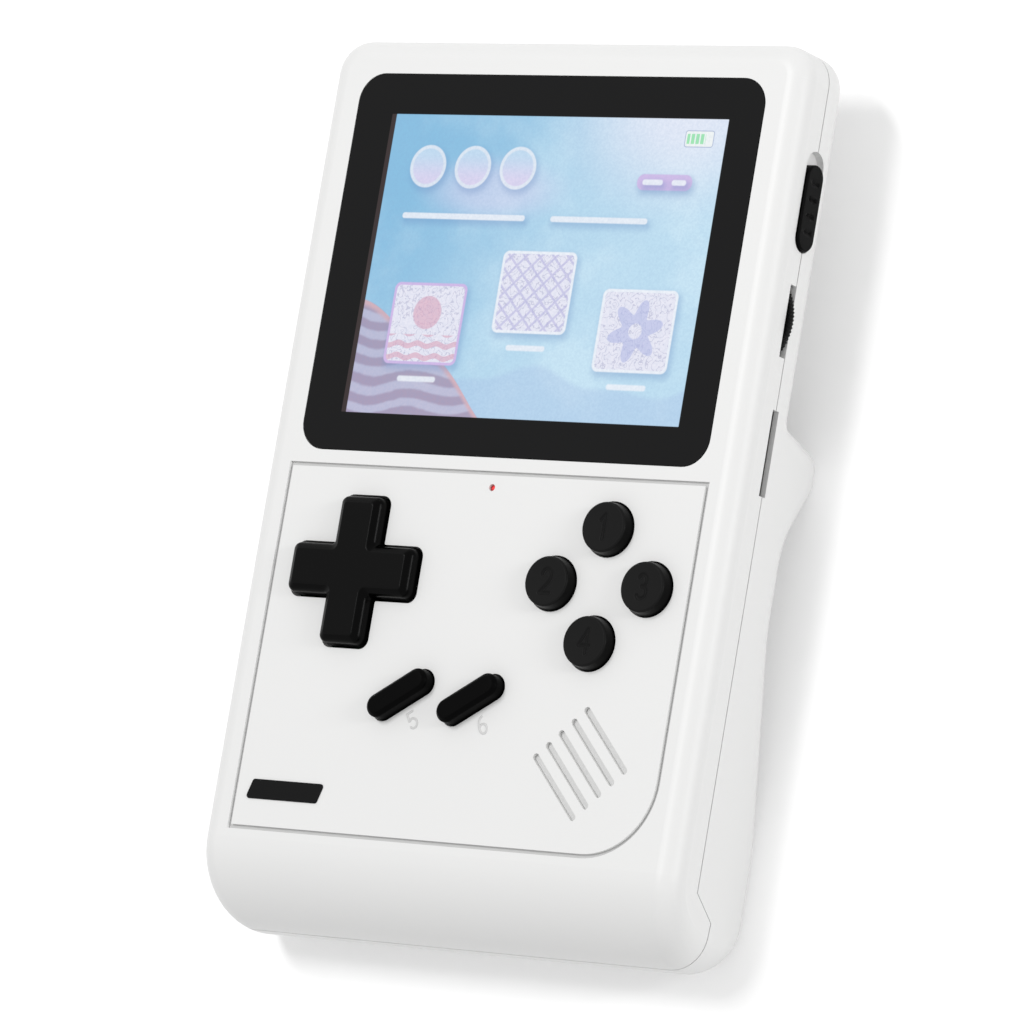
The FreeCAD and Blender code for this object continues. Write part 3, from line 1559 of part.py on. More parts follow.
for letter in KEY_PLACES:
    button = new_body(f"button_{letter}")
    profile = body_sketch(button, f"button_{letter}_profile", "XZ_Plane")
    closed_sketch(
        profile,
        [
            ("0", FLANGE_LOW),
            ("key_radius + flange_reach", FLANGE_LOW),
            ("key_radius + flange_reach", FLANGE_TOP),
            ("key_radius", FLANGE_TOP),
            ("key_radius", "body_depth + key_height - key_round"),
            ("key_radius - key_round", "body_depth + key_height"),
            ("0", "body_depth + key_height"),
        ],
    )
    turned = button.newObject("PartDesign::Revolution", f"button_{letter}_turned")
    turned.Profile = profile
    turned.ReferenceAxis = (profile, ["V_Axis"])
    turned.Angle = 360
    place(button, *key_middle(letter))

for name, x in MENU_PLACES.items():
    button = new_body(f"{name}_button")
    flange_sketch = body_sketch(button, f"{name}_flange_sketch", "XY_Plane", FLANGE_LOW)
    stadium_sketch(
        flange_sketch, "menu_length + 2 * flange_reach", "menu_width + 2 * flange_reach"
    )
    pad_feature(button, f"{name}_flange", flange_sketch, "flange_thick")
    cap_sketch = body_sketch(button, f"{name}_cap_sketch", "XY_Plane", FLANGE_LOW)
    stadium_sketch(cap_sketch, "menu_length", "menu_width")
    cap = pad_feature(
        button, f"{name}_cap", cap_sketch, f"body_depth + menu_height - {FLANGE_LOW}"
    )
    menu_top = at_height(FRONT_Z + size("menu_height"))
    body_bevel(button, f"{name}_bevel", cap, menu_top, "menu_round")
    place(button, x, "menu_y")
    button.Placement.Rotation.Axis = Vector(0, 0, 1)
    bind(button, "Placement.Rotation.Angle", "menu_angle")

dpad = new_body("dpad")
disc_sketch = circle_sketch(
    body_sketch(dpad, "pad_disc_sketch", "XY_Plane", PAD_LOW), "pad_flange_radius"
)
pad_feature(dpad, "pad_disc", disc_sketch, "flange_thick")
cross_sketch = body_sketch(dpad, "cross_sketch", "XY_Plane", PAD_LOW)
closed_sketch(cross_sketch, cross_corners("pad_span", "pad_arm"))
cross = pad_feature(dpad, "cross", cross_sketch, f"body_depth + pad_height - {PAD_LOW}")
PAD_DISC_TOP = FRONT_Z - size("front_wall") - size("pad_flange_drop")


def arm_corner(edge, middle, direction):
    """Picks the eight outer corners of the cross above its disc."""
    reach = max(abs(middle.x), abs(middle.y))
    return (
        upright(edge, middle, direction)
        and middle.z > PAD_DISC_TOP
        and reach > size("pad_span") / 2 - 0.01
    )


def inner_corner(edge, middle, direction):
    """Picks the four inner corners of the cross above its disc."""
    reach = max(abs(middle.x), abs(middle.y))
    return (
        upright(edge, middle, direction)
        and middle.z > PAD_DISC_TOP
        and reach < size("pad_arm") / 2 + 0.01
    )


arms = body_rounds(dpad, "arm_corners", cross, arm_corner, "pad_corner")
crook = body_rounds(dpad, "arm_crooks", arms, inner_corner, "pad_crook")
pad_top = at_height(FRONT_Z + size("pad_height"))
body_bevel(dpad, "pad_edge", crook, pad_top, "pad_round")
socket = dpad.newObject("PartDesign::SubtractiveSphere", "ball_socket")
bind(socket, "Radius", "ball_radius + ball_gap")
bind(socket, "AttachmentOffset.Base.z", "ball_height")
bind(socket, "Placement.Base.z", "ball_height")
place(dpad, "pad_x", "pad_y")

dpad_pivot = ball("dpad_pivot", "ball_radius", ("pad_x", "pad_y", "ball_height"))
dpad_post = cut(
    "dpad_post",
    rod(
        "post_rod",
        "post_radius",
        ("pad_x", "pad_y", "board_top"),
        f"{PAD_LOW} - post_gap - board_top",
    ),
    [ball("post_cup", "ball_radius + ball_gap", ("pad_x", "pad_y", "ball_height"))],
)

volume_wheel = new_body("volume_wheel")
rim_sketch = circle_sketch(
    body_sketch(volume_wheel, "rim_sketch", "XY_Plane", "wheel_low"), "wheel_radius"
)
pad_feature(volume_wheel, "wheel_disc", rim_sketch, "wheel_thick")
bore_sketch = circle_sketch(
    body_sketch(volume_wheel, "bore_sketch", "XY_Plane", "wheel_low"), "wheel_shaft + wheel_fit"
)
bore = volume_wheel.newObject("PartDesign::Pocket", "wheel_bore")
bore.Profile = bore_sketch
bore.Type = "ThroughAll"
bore.Reversed = True
tooth_sketch = body_sketch(volume_wheel, "tooth_sketch", "XY_Plane", "wheel_low")
TOOTH = "wheel_radius * pi / wheel_teeth / 2"
closed_sketch(
    tooth_sketch,
    [
        ("wheel_radius - wheel_tooth", f"-({TOOTH}) / 2"),
        ("wheel_radius + wheel_tooth", f"-{TOOTH}"),
        ("wheel_radius + wheel_tooth", TOOTH),
        ("wheel_radius - wheel_tooth", f"({TOOTH}) / 2"),
    ],
)
tooth = volume_wheel.newObject("PartDesign::Pocket", "wheel_gap")
tooth.Profile = tooth_sketch
tooth.Type = "ThroughAll"
tooth.Reversed = True
teeth = volume_wheel.newObject("PartDesign::PolarPattern", "wheel_rim")
teeth.Originals = [tooth]
teeth.Axis = (tooth_sketch, ["N_Axis"])
teeth.Angle = 360
bind(teeth, "Occurrences", "wheel_teeth")
volume_wheel.Tip = teeth
place(volume_wheel, WHEEL_X, "wheel_y")
volume_pot = joined(
    "volume_pot",
    [
        box_about(
            "pot_base",
            centred(WHEEL_X, "pot_size"),
            centred("wheel_y", "pot_size"),
            ("board_top", "board_top + pot_height"),
        ),
        rod(
            "pot_shaft",
            "wheel_shaft",
            (WHEEL_X, "wheel_y", "board_top"),
            "wheel_low + wheel_thick - board_top",
        ),
    ],
)

# Rubber mats with a pip under each key


def mat(name, base, pips, holes):
    """A mat with its pips, each from the board's top up to what it presses against."""
    solids = [
        rod(f"{name}_pip_{index}", "pip_radius", (x, y, "board_top"), f"{top} - board_top")
        for index, (x, y, top) in enumerate(pips)
    ]
    whole = joined(name + "_solid" if holes else name, [base] + solids)
    return cut(name, whole, holes) if holes else whole


keys_mat = mat(
    "keys_mat",
    rod("keys_mat_disc", "keys_reach + mat_reach", ("keys_x", "keys_y", "board_top"), "rubber_thick"),
    [(*key_middle(letter), FLANGE_LOW) for letter in KEY_PLACES],
    [],
)
dpad_mat = mat(
    "dpad_mat",
    rod(
        "dpad_mat_disc",
        "pad_flange_radius - mat_inset",
        ("pad_x", "pad_y", "board_top"),
        "rubber_thick",
    ),
    [
        (
            f"pad_x + ({across}) * (pad_span / 2 - pad_arm / 2)",
            f"pad_y + ({along}) * (pad_span / 2 - pad_arm / 2)",
            PAD_LOW,
        )
        for across, along in KEY_PLACES.values()
    ],
    [
        rod(
            "dpad_mat_hole",
            "post_radius + mat_inset",
            ("pad_x", "pad_y", "board_top - tool_reach"),
            "rubber_thick + 2 * tool_reach",
        )
    ],
)
menu_mat = mat(
    "menu_mat",
    box_about(
        "menu_mat_bar",
        ("select_x - menu_length / 2", "start_x + menu_length / 2"),
        centred("menu_y", "2 * menu_width"),
        ("board_top", "board_top + rubber_thick"),
    ),
    [(x, "menu_y", FLANGE_LOW) for x in MENU_PLACES.values()],
    [],
)

# Shoulder keys in the ridge, each with its small board and switch


def flat_on_flank(edge, middle, direction):
    """Picks the short edges that run through the shoulder key's cap along Y."""
    return abs(direction.y) > 0.9 and abs(direction.x) < 0.01


PRESSED_Y = (
    f"(ridge_crest_y + (tact_z - tact_stem) * {FLANK_LEAN} - {FLANK_SHIFT}"
    " - trigger_inner_gap - trigger_flange_thick - trigger_travel)"
)

for name, side in TRIGGER_SIDES.items():
    cap = flank_slab(
        f"{name}_trigger_cap",
        f"-{FLANK_SHIFT} - trigger_inner_gap - trigger_flange_thick",
        "trigger_proud",
        "trigger_low",
        "trigger_high",
        centred(f"{side}trigger_x", "trigger_width"),
    )
    flange = flank_slab(
        f"{name}_trigger_flange",
        f"-{FLANK_SHIFT} - trigger_inner_gap - trigger_flange_thick",
        f"-{FLANK_SHIFT} - trigger_inner_gap",
        "trigger_low - trigger_flange_low",
        "trigger_high + trigger_flange",
        centred(f"{side}trigger_x", "trigger_width + 2 * trigger_flange"),
    )
    soft_cap = rounded(
        f"{name}_trigger_soft_cap",
        cap,
        [(flat_on_flank, size("trigger_corner"), size("trigger_corner"))],
    )
    joined(f"{name}_trigger", [soft_cap, flange])
    board_y = ("trigger_board_y", "trigger_board_y + trigger_board_thick")
    box_about(
        f"{name}_trigger_board",
        centred(f"{side}trigger_x", "trigger_board_width"),
        board_y,
        ("trigger_board_low", "trigger_board_high"),
    )
    tact_case = box_about(
        f"{name}_tact_case",
        centred(f"{side}trigger_x", "tact_width"),
        (board_y[1], f"{board_y[1]} + tact_body"),
        centred("tact_z", "tact_height"),
    )
    tact_plunger = rod(
        f"{name}_tact_plunger",
        "tact_stem",
        (f"{side}trigger_x", board_y[1], "tact_z"),
        f"{PRESSED_Y} - tact_gap - ({board_y[1]})",
        "Y",
    )
    joined(f"{name}_trigger_switch", [tact_case, tact_plunger])

# Every sub-part under its node's name

NODES = ["front_shell", "back_shell", "screen_lens", "lcd_module", "lcd_flex", "main_board"]
NODES += ["dpad", "dpad_pivot", "dpad_post", "dpad_mat", "keys_mat", "menu_mat"]
NODES += [f"button_{letter}" for letter in KEY_PLACES]
NODES += [f"{name}_button" for name in MENU_PLACES]
NODES += ["speaker", "led_guide", "led_chip", "power_slider", "power_switch"]
NODES += ["volume_wheel", "volume_pot", "card_socket", "usb_socket", "audio_jack"]
for name in TRIGGER_SIDES:
    NODES += [f"{name}_trigger", f"{name}_trigger_board", f"{name}_trigger_switch"]
NODES += ["battery", "battery_cover", "battery_contacts", "shell_screws", "board_screws"]

doc.recompute()
broken = [item.Name for item in doc.Objects if {"Invalid", "Error"} & set(item.State)]
for name in NODES:
    item = doc.getObject(name)
    item.Label = name
    if item.Shape.isNull() or not item.Shape.isValid() or item.Shape.Volume <= 0:
        broken.append(name)
if broken:
    raise RuntimeError("failed objects: " + ", ".join(broken))
os.makedirs("parts", exist_ok=True)
for name in NODES:
    shape = doc.getObject(name).Shape
    shape.exportStep(f"parts/{name}.step")
    print(f"{name}: {len(shape.Solids)} solid, {shape.Volume:.1f} mm3")
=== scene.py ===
"""Looks of a handheld game console: white shells, black keys and a lit screen.

The console lies on its back on a pale floor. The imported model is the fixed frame, so
every piece goes where its node is. Lengths are in metres, apart from those of the
screen's picture, which are in millimetres.
"""

import math

import bmesh
import bpy
import numpy as np
from bpy.props import FloatProperty, FloatVectorProperty, IntProperty, PointerProperty
from mathutils import Matrix, Vector


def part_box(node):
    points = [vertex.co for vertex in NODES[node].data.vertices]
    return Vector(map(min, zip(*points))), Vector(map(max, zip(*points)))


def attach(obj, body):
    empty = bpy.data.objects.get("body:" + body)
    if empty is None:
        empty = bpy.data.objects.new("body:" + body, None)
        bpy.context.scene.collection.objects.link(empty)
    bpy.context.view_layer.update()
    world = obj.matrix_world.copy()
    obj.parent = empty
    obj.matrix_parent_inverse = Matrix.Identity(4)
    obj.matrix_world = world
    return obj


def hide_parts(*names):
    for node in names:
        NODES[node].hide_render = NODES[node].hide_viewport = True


bl_info = {
    "name": "Handheld Game Console",
    "version": (1, 0, 0),
    "blender": (4, 5, 0),
    "location": "3D View > Sidebar > Console",
    "description": "Dresses the packed handheld game console in its materials and its fine pieces",
    "category": "Object",
}

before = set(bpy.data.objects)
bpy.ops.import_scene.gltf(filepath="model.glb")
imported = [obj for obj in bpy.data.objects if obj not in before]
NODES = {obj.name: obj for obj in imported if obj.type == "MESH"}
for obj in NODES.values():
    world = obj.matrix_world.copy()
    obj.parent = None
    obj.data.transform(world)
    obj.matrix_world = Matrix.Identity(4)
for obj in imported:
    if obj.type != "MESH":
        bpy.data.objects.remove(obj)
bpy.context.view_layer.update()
MM = 0.001
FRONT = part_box("front_shell")[1].z

# Each key's node with its body and its numeral
ROUND_KEYS = {
    "button_x": ("key_x", 1),
    "button_y": ("key_y", 2),
    "button_a": ("key_a", 3),
    "button_b": ("key_b", 4),
}
MENU_KEYS = {"select_button": ("select_key", 5), "start_button": ("start_key", 6)}

# A key's cap starts this far above its node's lowest point
CAP_FOOT = 1.0 * MM
MENU_SLANT = np.exp(1j * math.radians(33))
SLOT_SLANT = np.exp(1j * math.radians(-46))
SMALLEST_CORNER = 0.45 * MM
# Points nearer than this are one, and edges sharper than this are not smoothed
DOUBLE_POINT = 1e-7
SHARP_EDGE = math.radians(40)

# Size of the keys' grain, depth of grain, and waves to the metre of a broad unevenness
KEY_GRAIN = 0.25 * MM
GRAIN_DEPTH = 0.004 * MM
BROAD_WAVES = 60.0

# Middle of the line round the control panel
PANEL_LEFT, PANEL_RIGHT = -35.5 * MM, 35.5 * MM
PANEL_LOW, PANEL_HIGH = -50.82 * MM, 1.55 * MM
PANEL_CORNER = 11.0 * MM

# The camera as worked out from the photo's outlines, and the lamps
CAMERA_PLACE = (0.6008, -0.16355, 0.8423)
CAMERA_AHEAD = (-0.5803, 0.1553, -0.7994)
CAMERA_UP = (-0.0446, 0.9741, 0.2216)
TOP_LAMP_PLACE = (-0.24, 0.32, 1.13)
SIDE_LAMP_PLACE = (1.12, 0.19, 0.38)


def colour(name, description, value):
    """A colour that the user can change."""
    return FloatVectorProperty(
        name=name, description=description, subtype="COLOR", size=3, min=0, max=1, default=value
    )


def length(name, description, value):
    """A length that the user can change."""
    return FloatProperty(
        name=name, description=description, default=value, min=0, unit="LENGTH", precision=5
    )


def amount(name, description, value, most=1.0):
    """A plain number that the user can change."""
    return FloatProperty(name=name, description=description, default=value, min=0, max=most)


class ConsoleColours(bpy.types.PropertyGroup):
    """Colours of the console's finishes."""

    shell: colour("Shell", "White moulded plastic of the two shells", (0.83, 0.83, 0.825))
    round_keys: colour("Round keys", "Black plastic of the round keys", (0.0105, 0.0105, 0.0105))
    pad: colour("Cross pad", "Black plastic of the cross pad", (0.0040, 0.0040, 0.0040))
    keys: colour("Other keys", "Black plastic of the other keys", (0.0060, 0.0060, 0.0062))
    lens: colour("Lens", "Black ink behind the screen lens", (0.0052, 0.0052, 0.0055))
    light: colour("Light", "Power light", (0.55, 0.012, 0.02))
    sky: colour("Sky", "Deep part of the picture's sky", (0.25, 0.53, 0.77))
    haze: colour("Haze", "Pale part of the picture's sky", (0.60, 0.81, 0.94))
    far_hills: colour("Far hills", "Far hills in the picture", (0.40, 0.53, 0.80))
    near_hills: colour("Near hills", "Near hills in the picture", (0.40, 0.27, 0.40))
    floor: colour("Floor", "Floor under the console", (0.92, 0.92, 0.92))


class ConsoleSizes(bpy.types.PropertyGroup):
    """Sizes of the fine pieces."""

    key_radius: length("Key radius", "Radius of a round key's cap", 3.78 * MM)
    key_lean: length("Key lean", "How far a round key's wall leans in", 0.22 * MM)
    key_dish: length("Key dish", "Depth of the hollow in a round key", 0.06 * MM)
    pad_reach: length("Pad reach", "From the cross pad's middle to its tips", 10.6 * MM)
    pad_arm: length("Pad arm", "Half the width of the cross pad's arms", 3.65 * MM)
    pad_corner: length("Pad corner", "Radius of the arms' corners", 1.2 * MM)
    pad_crook: length("Pad crook", "Radius between the arms", 0.6 * MM)
    pad_slope: length("Pad slope", "Run of the slope along the cross pad's rim", 0.66 * MM)
    menu_reach: length("Menu key reach", "Half the length of a menu key", 5.35 * MM)
    menu_half: length("Menu key half width", "Half the width of a menu key", 1.75 * MM)
    menu_slope: length("Menu key slope", "Run of the slope along a menu key's rim", 0.45 * MM)
    mark_depth: length("Mark depth", "Depth of the numerals on the round keys", 0.16 * MM)
    mark_width: length("Mark width", "Half the width of a numeral's strokes", 0.36 * MM)
    wheel_radius: length("Wheel radius", "Outer radius of the volume wheel's teeth", 7.9 * MM)
    tooth: length("Tooth", "Depth of the volume wheel's teeth", 0.16 * MM)
    teeth: IntProperty(name="Teeth", description="Teeth on the volume wheel", default=90, min=12)
    grain: length("Grain", "Size of the grain on the shells", 0.35 * MM)


class ConsoleStudio(bpy.types.PropertyGroup):
    """Light and camera of the studio."""

    sky_light: amount("Sky light", "Strength of the even light from all round", 0.58, 5.0)
    top_light: amount("Top light", "Power of the lamp overhead", 5.6, 100.0)
    side_light: amount("Side light", "Power of the lamp at the right", 2.9, 100.0)
    floor_glow: amount("Floor glow", "Brightness added to the floor as the camera sees it", 0.22)
    lens_mm: FloatProperty(
        name="Focal length", description="Focal length of the camera", default=261.3, min=1
    )


def colours():
    return bpy.context.scene.console_colours


def sizes():
    return bpy.context.scene.console_sizes


def studio():
    return bpy.context.scene.console_studio


class Number:
    """A node's output. Arithmetic on it adds Math nodes."""

    def __init__(self, owner, socket):
        self.owner = owner
        self.socket = socket

    def done(self, operation, *values):
        """The result of a Math node."""
        return self.owner.node("ShaderNodeMath", {"operation": operation}, values)

    def __add__(self, other):
        return self.done("ADD", self, other)

    def __radd__(self, other):
        return self.done("ADD", other, self)

    def __sub__(self, other):
        return self.done("SUBTRACT", self, other)

    def __rsub__(self, other):
        return self.done("SUBTRACT", other, self)

    def __mul__(self, other):
        return self.done("MULTIPLY", self, other)

    def __rmul__(self, other):
        return self.done("MULTIPLY", other, self)

    def __truediv__(self, other):
        return self.done("DIVIDE", self, other)

    def __abs__(self):
        return self.done("ABSOLUTE", self)

    def at_most(self, other):
        return self.done("MINIMUM", self, other)

    def at_least(self, other):
        return self.done("MAXIMUM", self, other)

    def sine(self):
        return self.done("SINE", self)

    def root(self):
        return self.done("SQRT", self)

    def waves(self, pitch):
        """A sine wave that repeats at a pitch."""
        return (self * (2 * math.pi / pitch)).sine()

    def between(self, low, high):
        """Goes smoothly from 0 at low to 1 at high."""
        return self.owner.node(
            "ShaderNodeMapRange", {"interpolation_type": "SMOOTHSTEP"}, (self, low, high, 0.0, 1.0)
        )

    def inside(self, soft):
        """1 where a distance to an outline is below 0 and else 0, with a soft edge."""
        return self.between(soft, -soft)


class ShaderNodes:
    """The nodes of a material or of the world."""

    def __init__(self, tree):
        self.tree = tree

    def node(self, kind, settings, values, output=0):
        """Adds a node, sets it and its inputs, and gives one of its outputs."""
        node = self.tree.nodes.new(kind)
        for key, value in settings.items():
            setattr(node, key, value)
        pairs = values.items() if isinstance(values, dict) else enumerate(values)
        for key, value in pairs:
            self.join(node.inputs[key], value)
        return Number(self, node.outputs[output])

    def join(self, socket, value):
        """Links or sets one input. A colour of three numbers gets its fourth."""
        if isinstance(value, Number):
            self.tree.links.new(value.socket, socket)
        elif socket.type == "RGBA":
            socket.default_value = (*value, 1.0)[:4]
        else:
            socket.default_value = value

    def mixed(self, factor, first, second):
        """A colour between two colours."""
        factor_input, first_input, second_input, colour_output = 0, 6, 7, 2
        values = {factor_input: factor, first_input: first, second_input: second}
        return self.node("ShaderNodeMix", {"data_type": "RGBA"}, values, colour_output)

    def seen(self):
        """1 for what the camera sees itself, in gloss or through glass, and else 0."""
        rays = ("Is Camera Ray", "Is Glossy Ray", "Is Transmission Ray")
        camera, gloss, glass = (self.node("ShaderNodeLightPath", {}, {}, ray) for ray in rays)
        return camera.at_least(gloss).at_least(glass)


class Finish(ShaderNodes):
    """One material, its nodes and its shader."""

    def __init__(self, name):
        self.material = bpy.data.materials.new(name)
        self.material.use_nodes = True
        super().__init__(self.material.node_tree)
        self.shader = self.tree.nodes["Principled BSDF"]

    def set(self, **values):
        """Sets or links the shader's own inputs, named with _ for a space."""
        for key, value in values.items():
            self.join(self.shader.inputs[key.replace("_", " ")], value)

    def place(self):
        """The place on the object, as a vector."""
        return self.node("ShaderNodeTexCoord", {}, {}, "Object")

    def along(self):
        """The place on the object, as three numbers."""
        place = self.place()
        return [self.node("ShaderNodeSeparateXYZ", {}, (place,), axis) for axis in "XYZ"]

    def away_from(self, node):
        """Distance from a CAD node's middle, seen from the front."""
        x, y, _ = self.along()
        middle = middle_of(node)[0]
        return distance(x - middle.real, y - middle.imag)

    def noise(self, scale, detail=2.0, roughness=0.5):
        """Fractal noise from 0 to 1 with so many waves to the metre."""
        values = {"Vector": self.place(), "Scale": scale, "Detail": detail}
        values["Roughness"] = roughness
        return self.node("ShaderNodeTexNoise", {}, values, "Fac")

    def grained(self, size):
        """Noise with grains of a size."""
        return self.noise(1 / size, 3.0, 0.6)

    def bumped(self, height, depth):
        """Turns a height from 0 to 1 into bumps of a depth on the surface."""
        self.set(Normal=self.node("ShaderNodeBump", {}, {"Height": height, "Distance": depth}))


def darker(tone, share):
    """A tone with a share of its brightness taken away."""
    return tuple(channel * (1 - share) for channel in tone)


def plastic(name, base, roughness, grain, depth, shade=0.06, gloss=0.5, toned=None):
    """Moulded plastic: grain of a size and a depth, a faint unevenness of colour and of
    gloss. A function of the finish and the tone can change the tone from place to place."""
    finish = Finish(name)
    fine = finish.grained(grain)
    broad = finish.noise(BROAD_WAVES)
    tone = finish.mixed(broad, darker(base, shade), tuple(base))
    if toned:
        tone = toned(finish, tone)
    finish.set(
        Base_Color=tone,
        Roughness=roughness + (fine - 0.5) * 0.10 + (broad - 0.5) * 0.06,
        Specular_IOR_Level=gloss,
    )
    finish.bumped(fine, depth)
    return finish.material


def lined(finish, tone):
    """A tone with the line round the control panel: its bottom is painted darker, as shade where
    little light gets there, and its walls are painted paler, as light. The line's outline is a
    rectangle whose lower right corner is round. Each pair of levels is where a tone starts and
    where it is full."""
    # Painted light on the line's walls and painted shade on its bottom
    wall, bottom = (0.97, 0.97, 0.965), (0.57, 0.57, 0.567)
    line_sides = 0.40 * MM, 0.31 * MM
    wall_levels = FRONT - 0.01 * MM, FRONT - 0.06 * MM
    bottom_levels = FRONT - 0.40 * MM, FRONT - 0.46 * MM
    x, y, z = finish.along()
    across = (x - (PANEL_RIGHT - PANEL_CORNER)).at_least(0.0)
    along = (PANEL_LOW + PANEL_CORNER - y).at_least(0.0)
    edge = (distance(across, along) - PANEL_CORNER).at_least(PANEL_LEFT - x).at_least(y - PANEL_HIGH)
    near = abs(edge).between(*line_sides) * z.between(*wall_levels)
    return finish.mixed(near, tone, finish.mixed(z.between(*bottom_levels), wall, bottom))


def key_plastic(name, share, roughness, gloss):
    """Black plastic in a share of the keys' tone, finely grained."""
    tone = darker(colours().keys, 1 - share)
    return plastic(name, tone, roughness, KEY_GRAIN, GRAIN_DEPTH, shade=0.10, gloss=gloss)


def cap_finish(name, node, tone, roughness, gloss, depths):
    """Black plastic with painted shade. Between two depths under the node's top it darkens
    towards the walls, which are painted nearly black, so the top looks lit."""
    finish = Finish(name)
    _, _, z = finish.along()
    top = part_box(node)[1].z
    # Painted shade: 1 on the top, falling to 0 on the walls and in deep grooves
    unshaded_top = z.between(top - depths[1], top - depths[0])
    fine = finish.grained(KEY_GRAIN)
    grey = finish.mixed(finish.noise(BROAD_WAVES), darker(tone, 0.10), tone)
    finish.set(
        Base_Color=finish.mixed(unshaded_top, darker(tone, 0.9), grey),
        Roughness=roughness + (fine - 0.5) * 0.10,
        Specular_IOR_Level=gloss,
    )
    finish.bumped(fine, GRAIN_DEPTH)
    return finish.material


def metal(name, base, roughness):
    """Sheet or turned metal with a faint unevenness of colour and of gloss."""
    finish = Finish(name)
    uneven = finish.noise(900.0, 3.0, 0.6)
    finish.set(
        Base_Color=finish.mixed(uneven, darker(base, 0.2), base),
        Metallic=1.0,
        Roughness=roughness + (uneven - 0.5) * 0.15,
    )
    return finish.material


def woven_finish():
    """Fine pale mesh: two sets of threads that pass over each other."""
    finish = Finish("woven_mesh")
    x, y, _ = finish.along()
    pitch = 0.24 * MM
    threads = (x.waves(pitch) * y.waves(pitch)) * 0.5 + 0.5
    tone = finish.mixed(threads, (0.66, 0.66, 0.655), (0.74, 0.74, 0.735))
    finish.set(Base_Color=tone, Roughness=0.6)
    finish.bumped(threads, 0.01 * MM)
    return finish.material


def speaker_finish():
    """A dark paper cone with rings round its middle."""
    finish = Finish("speaker_cone")
    rings = finish.away_from("speaker").waves(1.2 * MM) * 0.5 + 0.5
    tone = finish.mixed(rings, (0.02, 0.02, 0.02), (0.05, 0.05, 0.05))
    finish.set(Base_Color=tone, Roughness=0.8)
    finish.bumped(rings, 0.05 * MM)
    return finish.material


def light_finish():
    """Red tinted plastic, lit from within and brightest in its middle."""
    finish = Finish("power_light")
    red = tuple(colours().light)
    edge = finish.away_from("led_guide").between(0.12 * MM, 0.42 * MM)
    finish.set(
        Base_Color=finish.mixed(edge, red, darker(red, 0.6)),
        Emission_Color=finish.mixed(edge, (1.0, 0.06, 0.05), darker(red, 0.5)),
        Emission_Strength=0.5,
        Roughness=0.25,
    )
    return finish.material


def distance(x, y):
    """Distance from a middle, given the shifts from it."""
    return (x * x + y * y).root()


def rounded_box(x, y, half_x, half_y, radius):
    """Distance to a rounded box's outline, below 0 inside it."""
    across = abs(x) - (half_x - radius)
    along = abs(y) - (half_y - radius)
    corner = distance(across.at_least(0.0), along.at_least(0.0))
    return corner + across.at_least(along).at_most(0.0) - radius


# Softness of most edges in the picture
SOFT = 0.12


def sun_motif(x, y):
    """A disc over rippling water."""
    disc = (distance(x, y - 1.6) - 2.4).inside(SOFT)
    ripples = ((y * 3.6 + (x * 1.9).sine() * 0.8).sine() - 0.15).between(-0.2, 0.2)
    return disc.at_least(ripples * (y + 1.6).inside(0.1))


def lattice_motif(x, y):
    """Crossed slanted bars."""
    first = (abs(((x + y) * 1.25).sine()) - 0.30).inside(SOFT)
    second = (abs(((x - y) * 1.25).sine()) - 0.30).inside(SOFT)
    return first.at_least(second)


def petal_motif(x, y):
    """Six petals round a middle: the radius swings with six times the angle."""
    angle = x.done("ARCTAN2", y, x)
    edge = (angle * 6.0).sine() * 1.1 + 3.5
    away = distance(x, y)
    return (away - edge).inside(SOFT) * (away - 1.1).between(-SOFT, SOFT)


PALE = (0.88, 0.92, 0.98)
LILAC = (0.66, 0.50, 0.82)
DEEP = (0.13, 0.27, 0.55)
GLOW = (0.84, 0.86, 0.97)
SHEEN = (0.78, 0.74, 0.94)
STRATA = (0.56, 0.50, 0.66)
CREST = (0.74, 0.40, 0.42)
GRAIN_DOTS = (0.22, 0.36, 0.60)

# The window's middle on the lens. The picture's lengths count from it, in millimetres.
WINDOW_X, WINDOW_Y = 0.4 * MM, 31.05 * MM
WINDOW_HALF_X, WINDOW_HALF_Y = 28.8, 21.75
WINDOW_CORNER = 0.1
# Half the width of the strip at the window's left that stays unlit
UNLIT = 0.4
# Shift of the shadows in the picture
SHADOW_X, SHADOW_Y = 0.35, -0.55

# Half width, half height and corner of a tile, of the field in it and of its label
TILE = (6.3, 5.9, 1.0)
FIELD = (5.9, 5.5, 0.7)
LABEL = (3.3, 0.40, 0.38)
LABEL_DROP = 8.0
# Place, motif, the motif's tone and the border's
TILES = (
    (-16.8, -8.6, sun_motif, (0.72, 0.36, 0.48), LILAC),
    (1.0, -3.6, lattice_motif, (0.50, 0.48, 0.76), PALE),
    (19.0, -8.6, petal_motif, (0.46, 0.50, 0.80), PALE),
)
DISC_PLACES = ((-21.0, 14.2), (-13.2, 14.2), (-5.4, 14.2))
DISC_RADIUS = 3.1
DISC_FILL_RADIUS = 2.6
# Place, half width, half height and tone
BARS = (
    (-13.4, 7.0, 10.6, 0.42, PALE),
    (9.8, 7.0, 8.2, 0.42, PALE),
    (19.8, 12.6, 4.6, 1.15, LILAC),
    (17.8, 12.6, 1.7, 0.40, PALE),
    (22.2, 12.6, 1.2, 0.40, PALE),
)
# The battery sign's place, the half width, half height and corner of its cell and of its
# charge, the shifts of the charge and its bars from the middle, and the bars' pitch
BATTERY_PLACE = (24.4, 18.9)
CELL = (2.3, 1.1, 0.3)
CHARGE = (1.55, 0.72, 0.1)
CHARGE_SHIFT, BAR_SHIFT, BAR_PITCH = 0.5, 2.05, 0.78


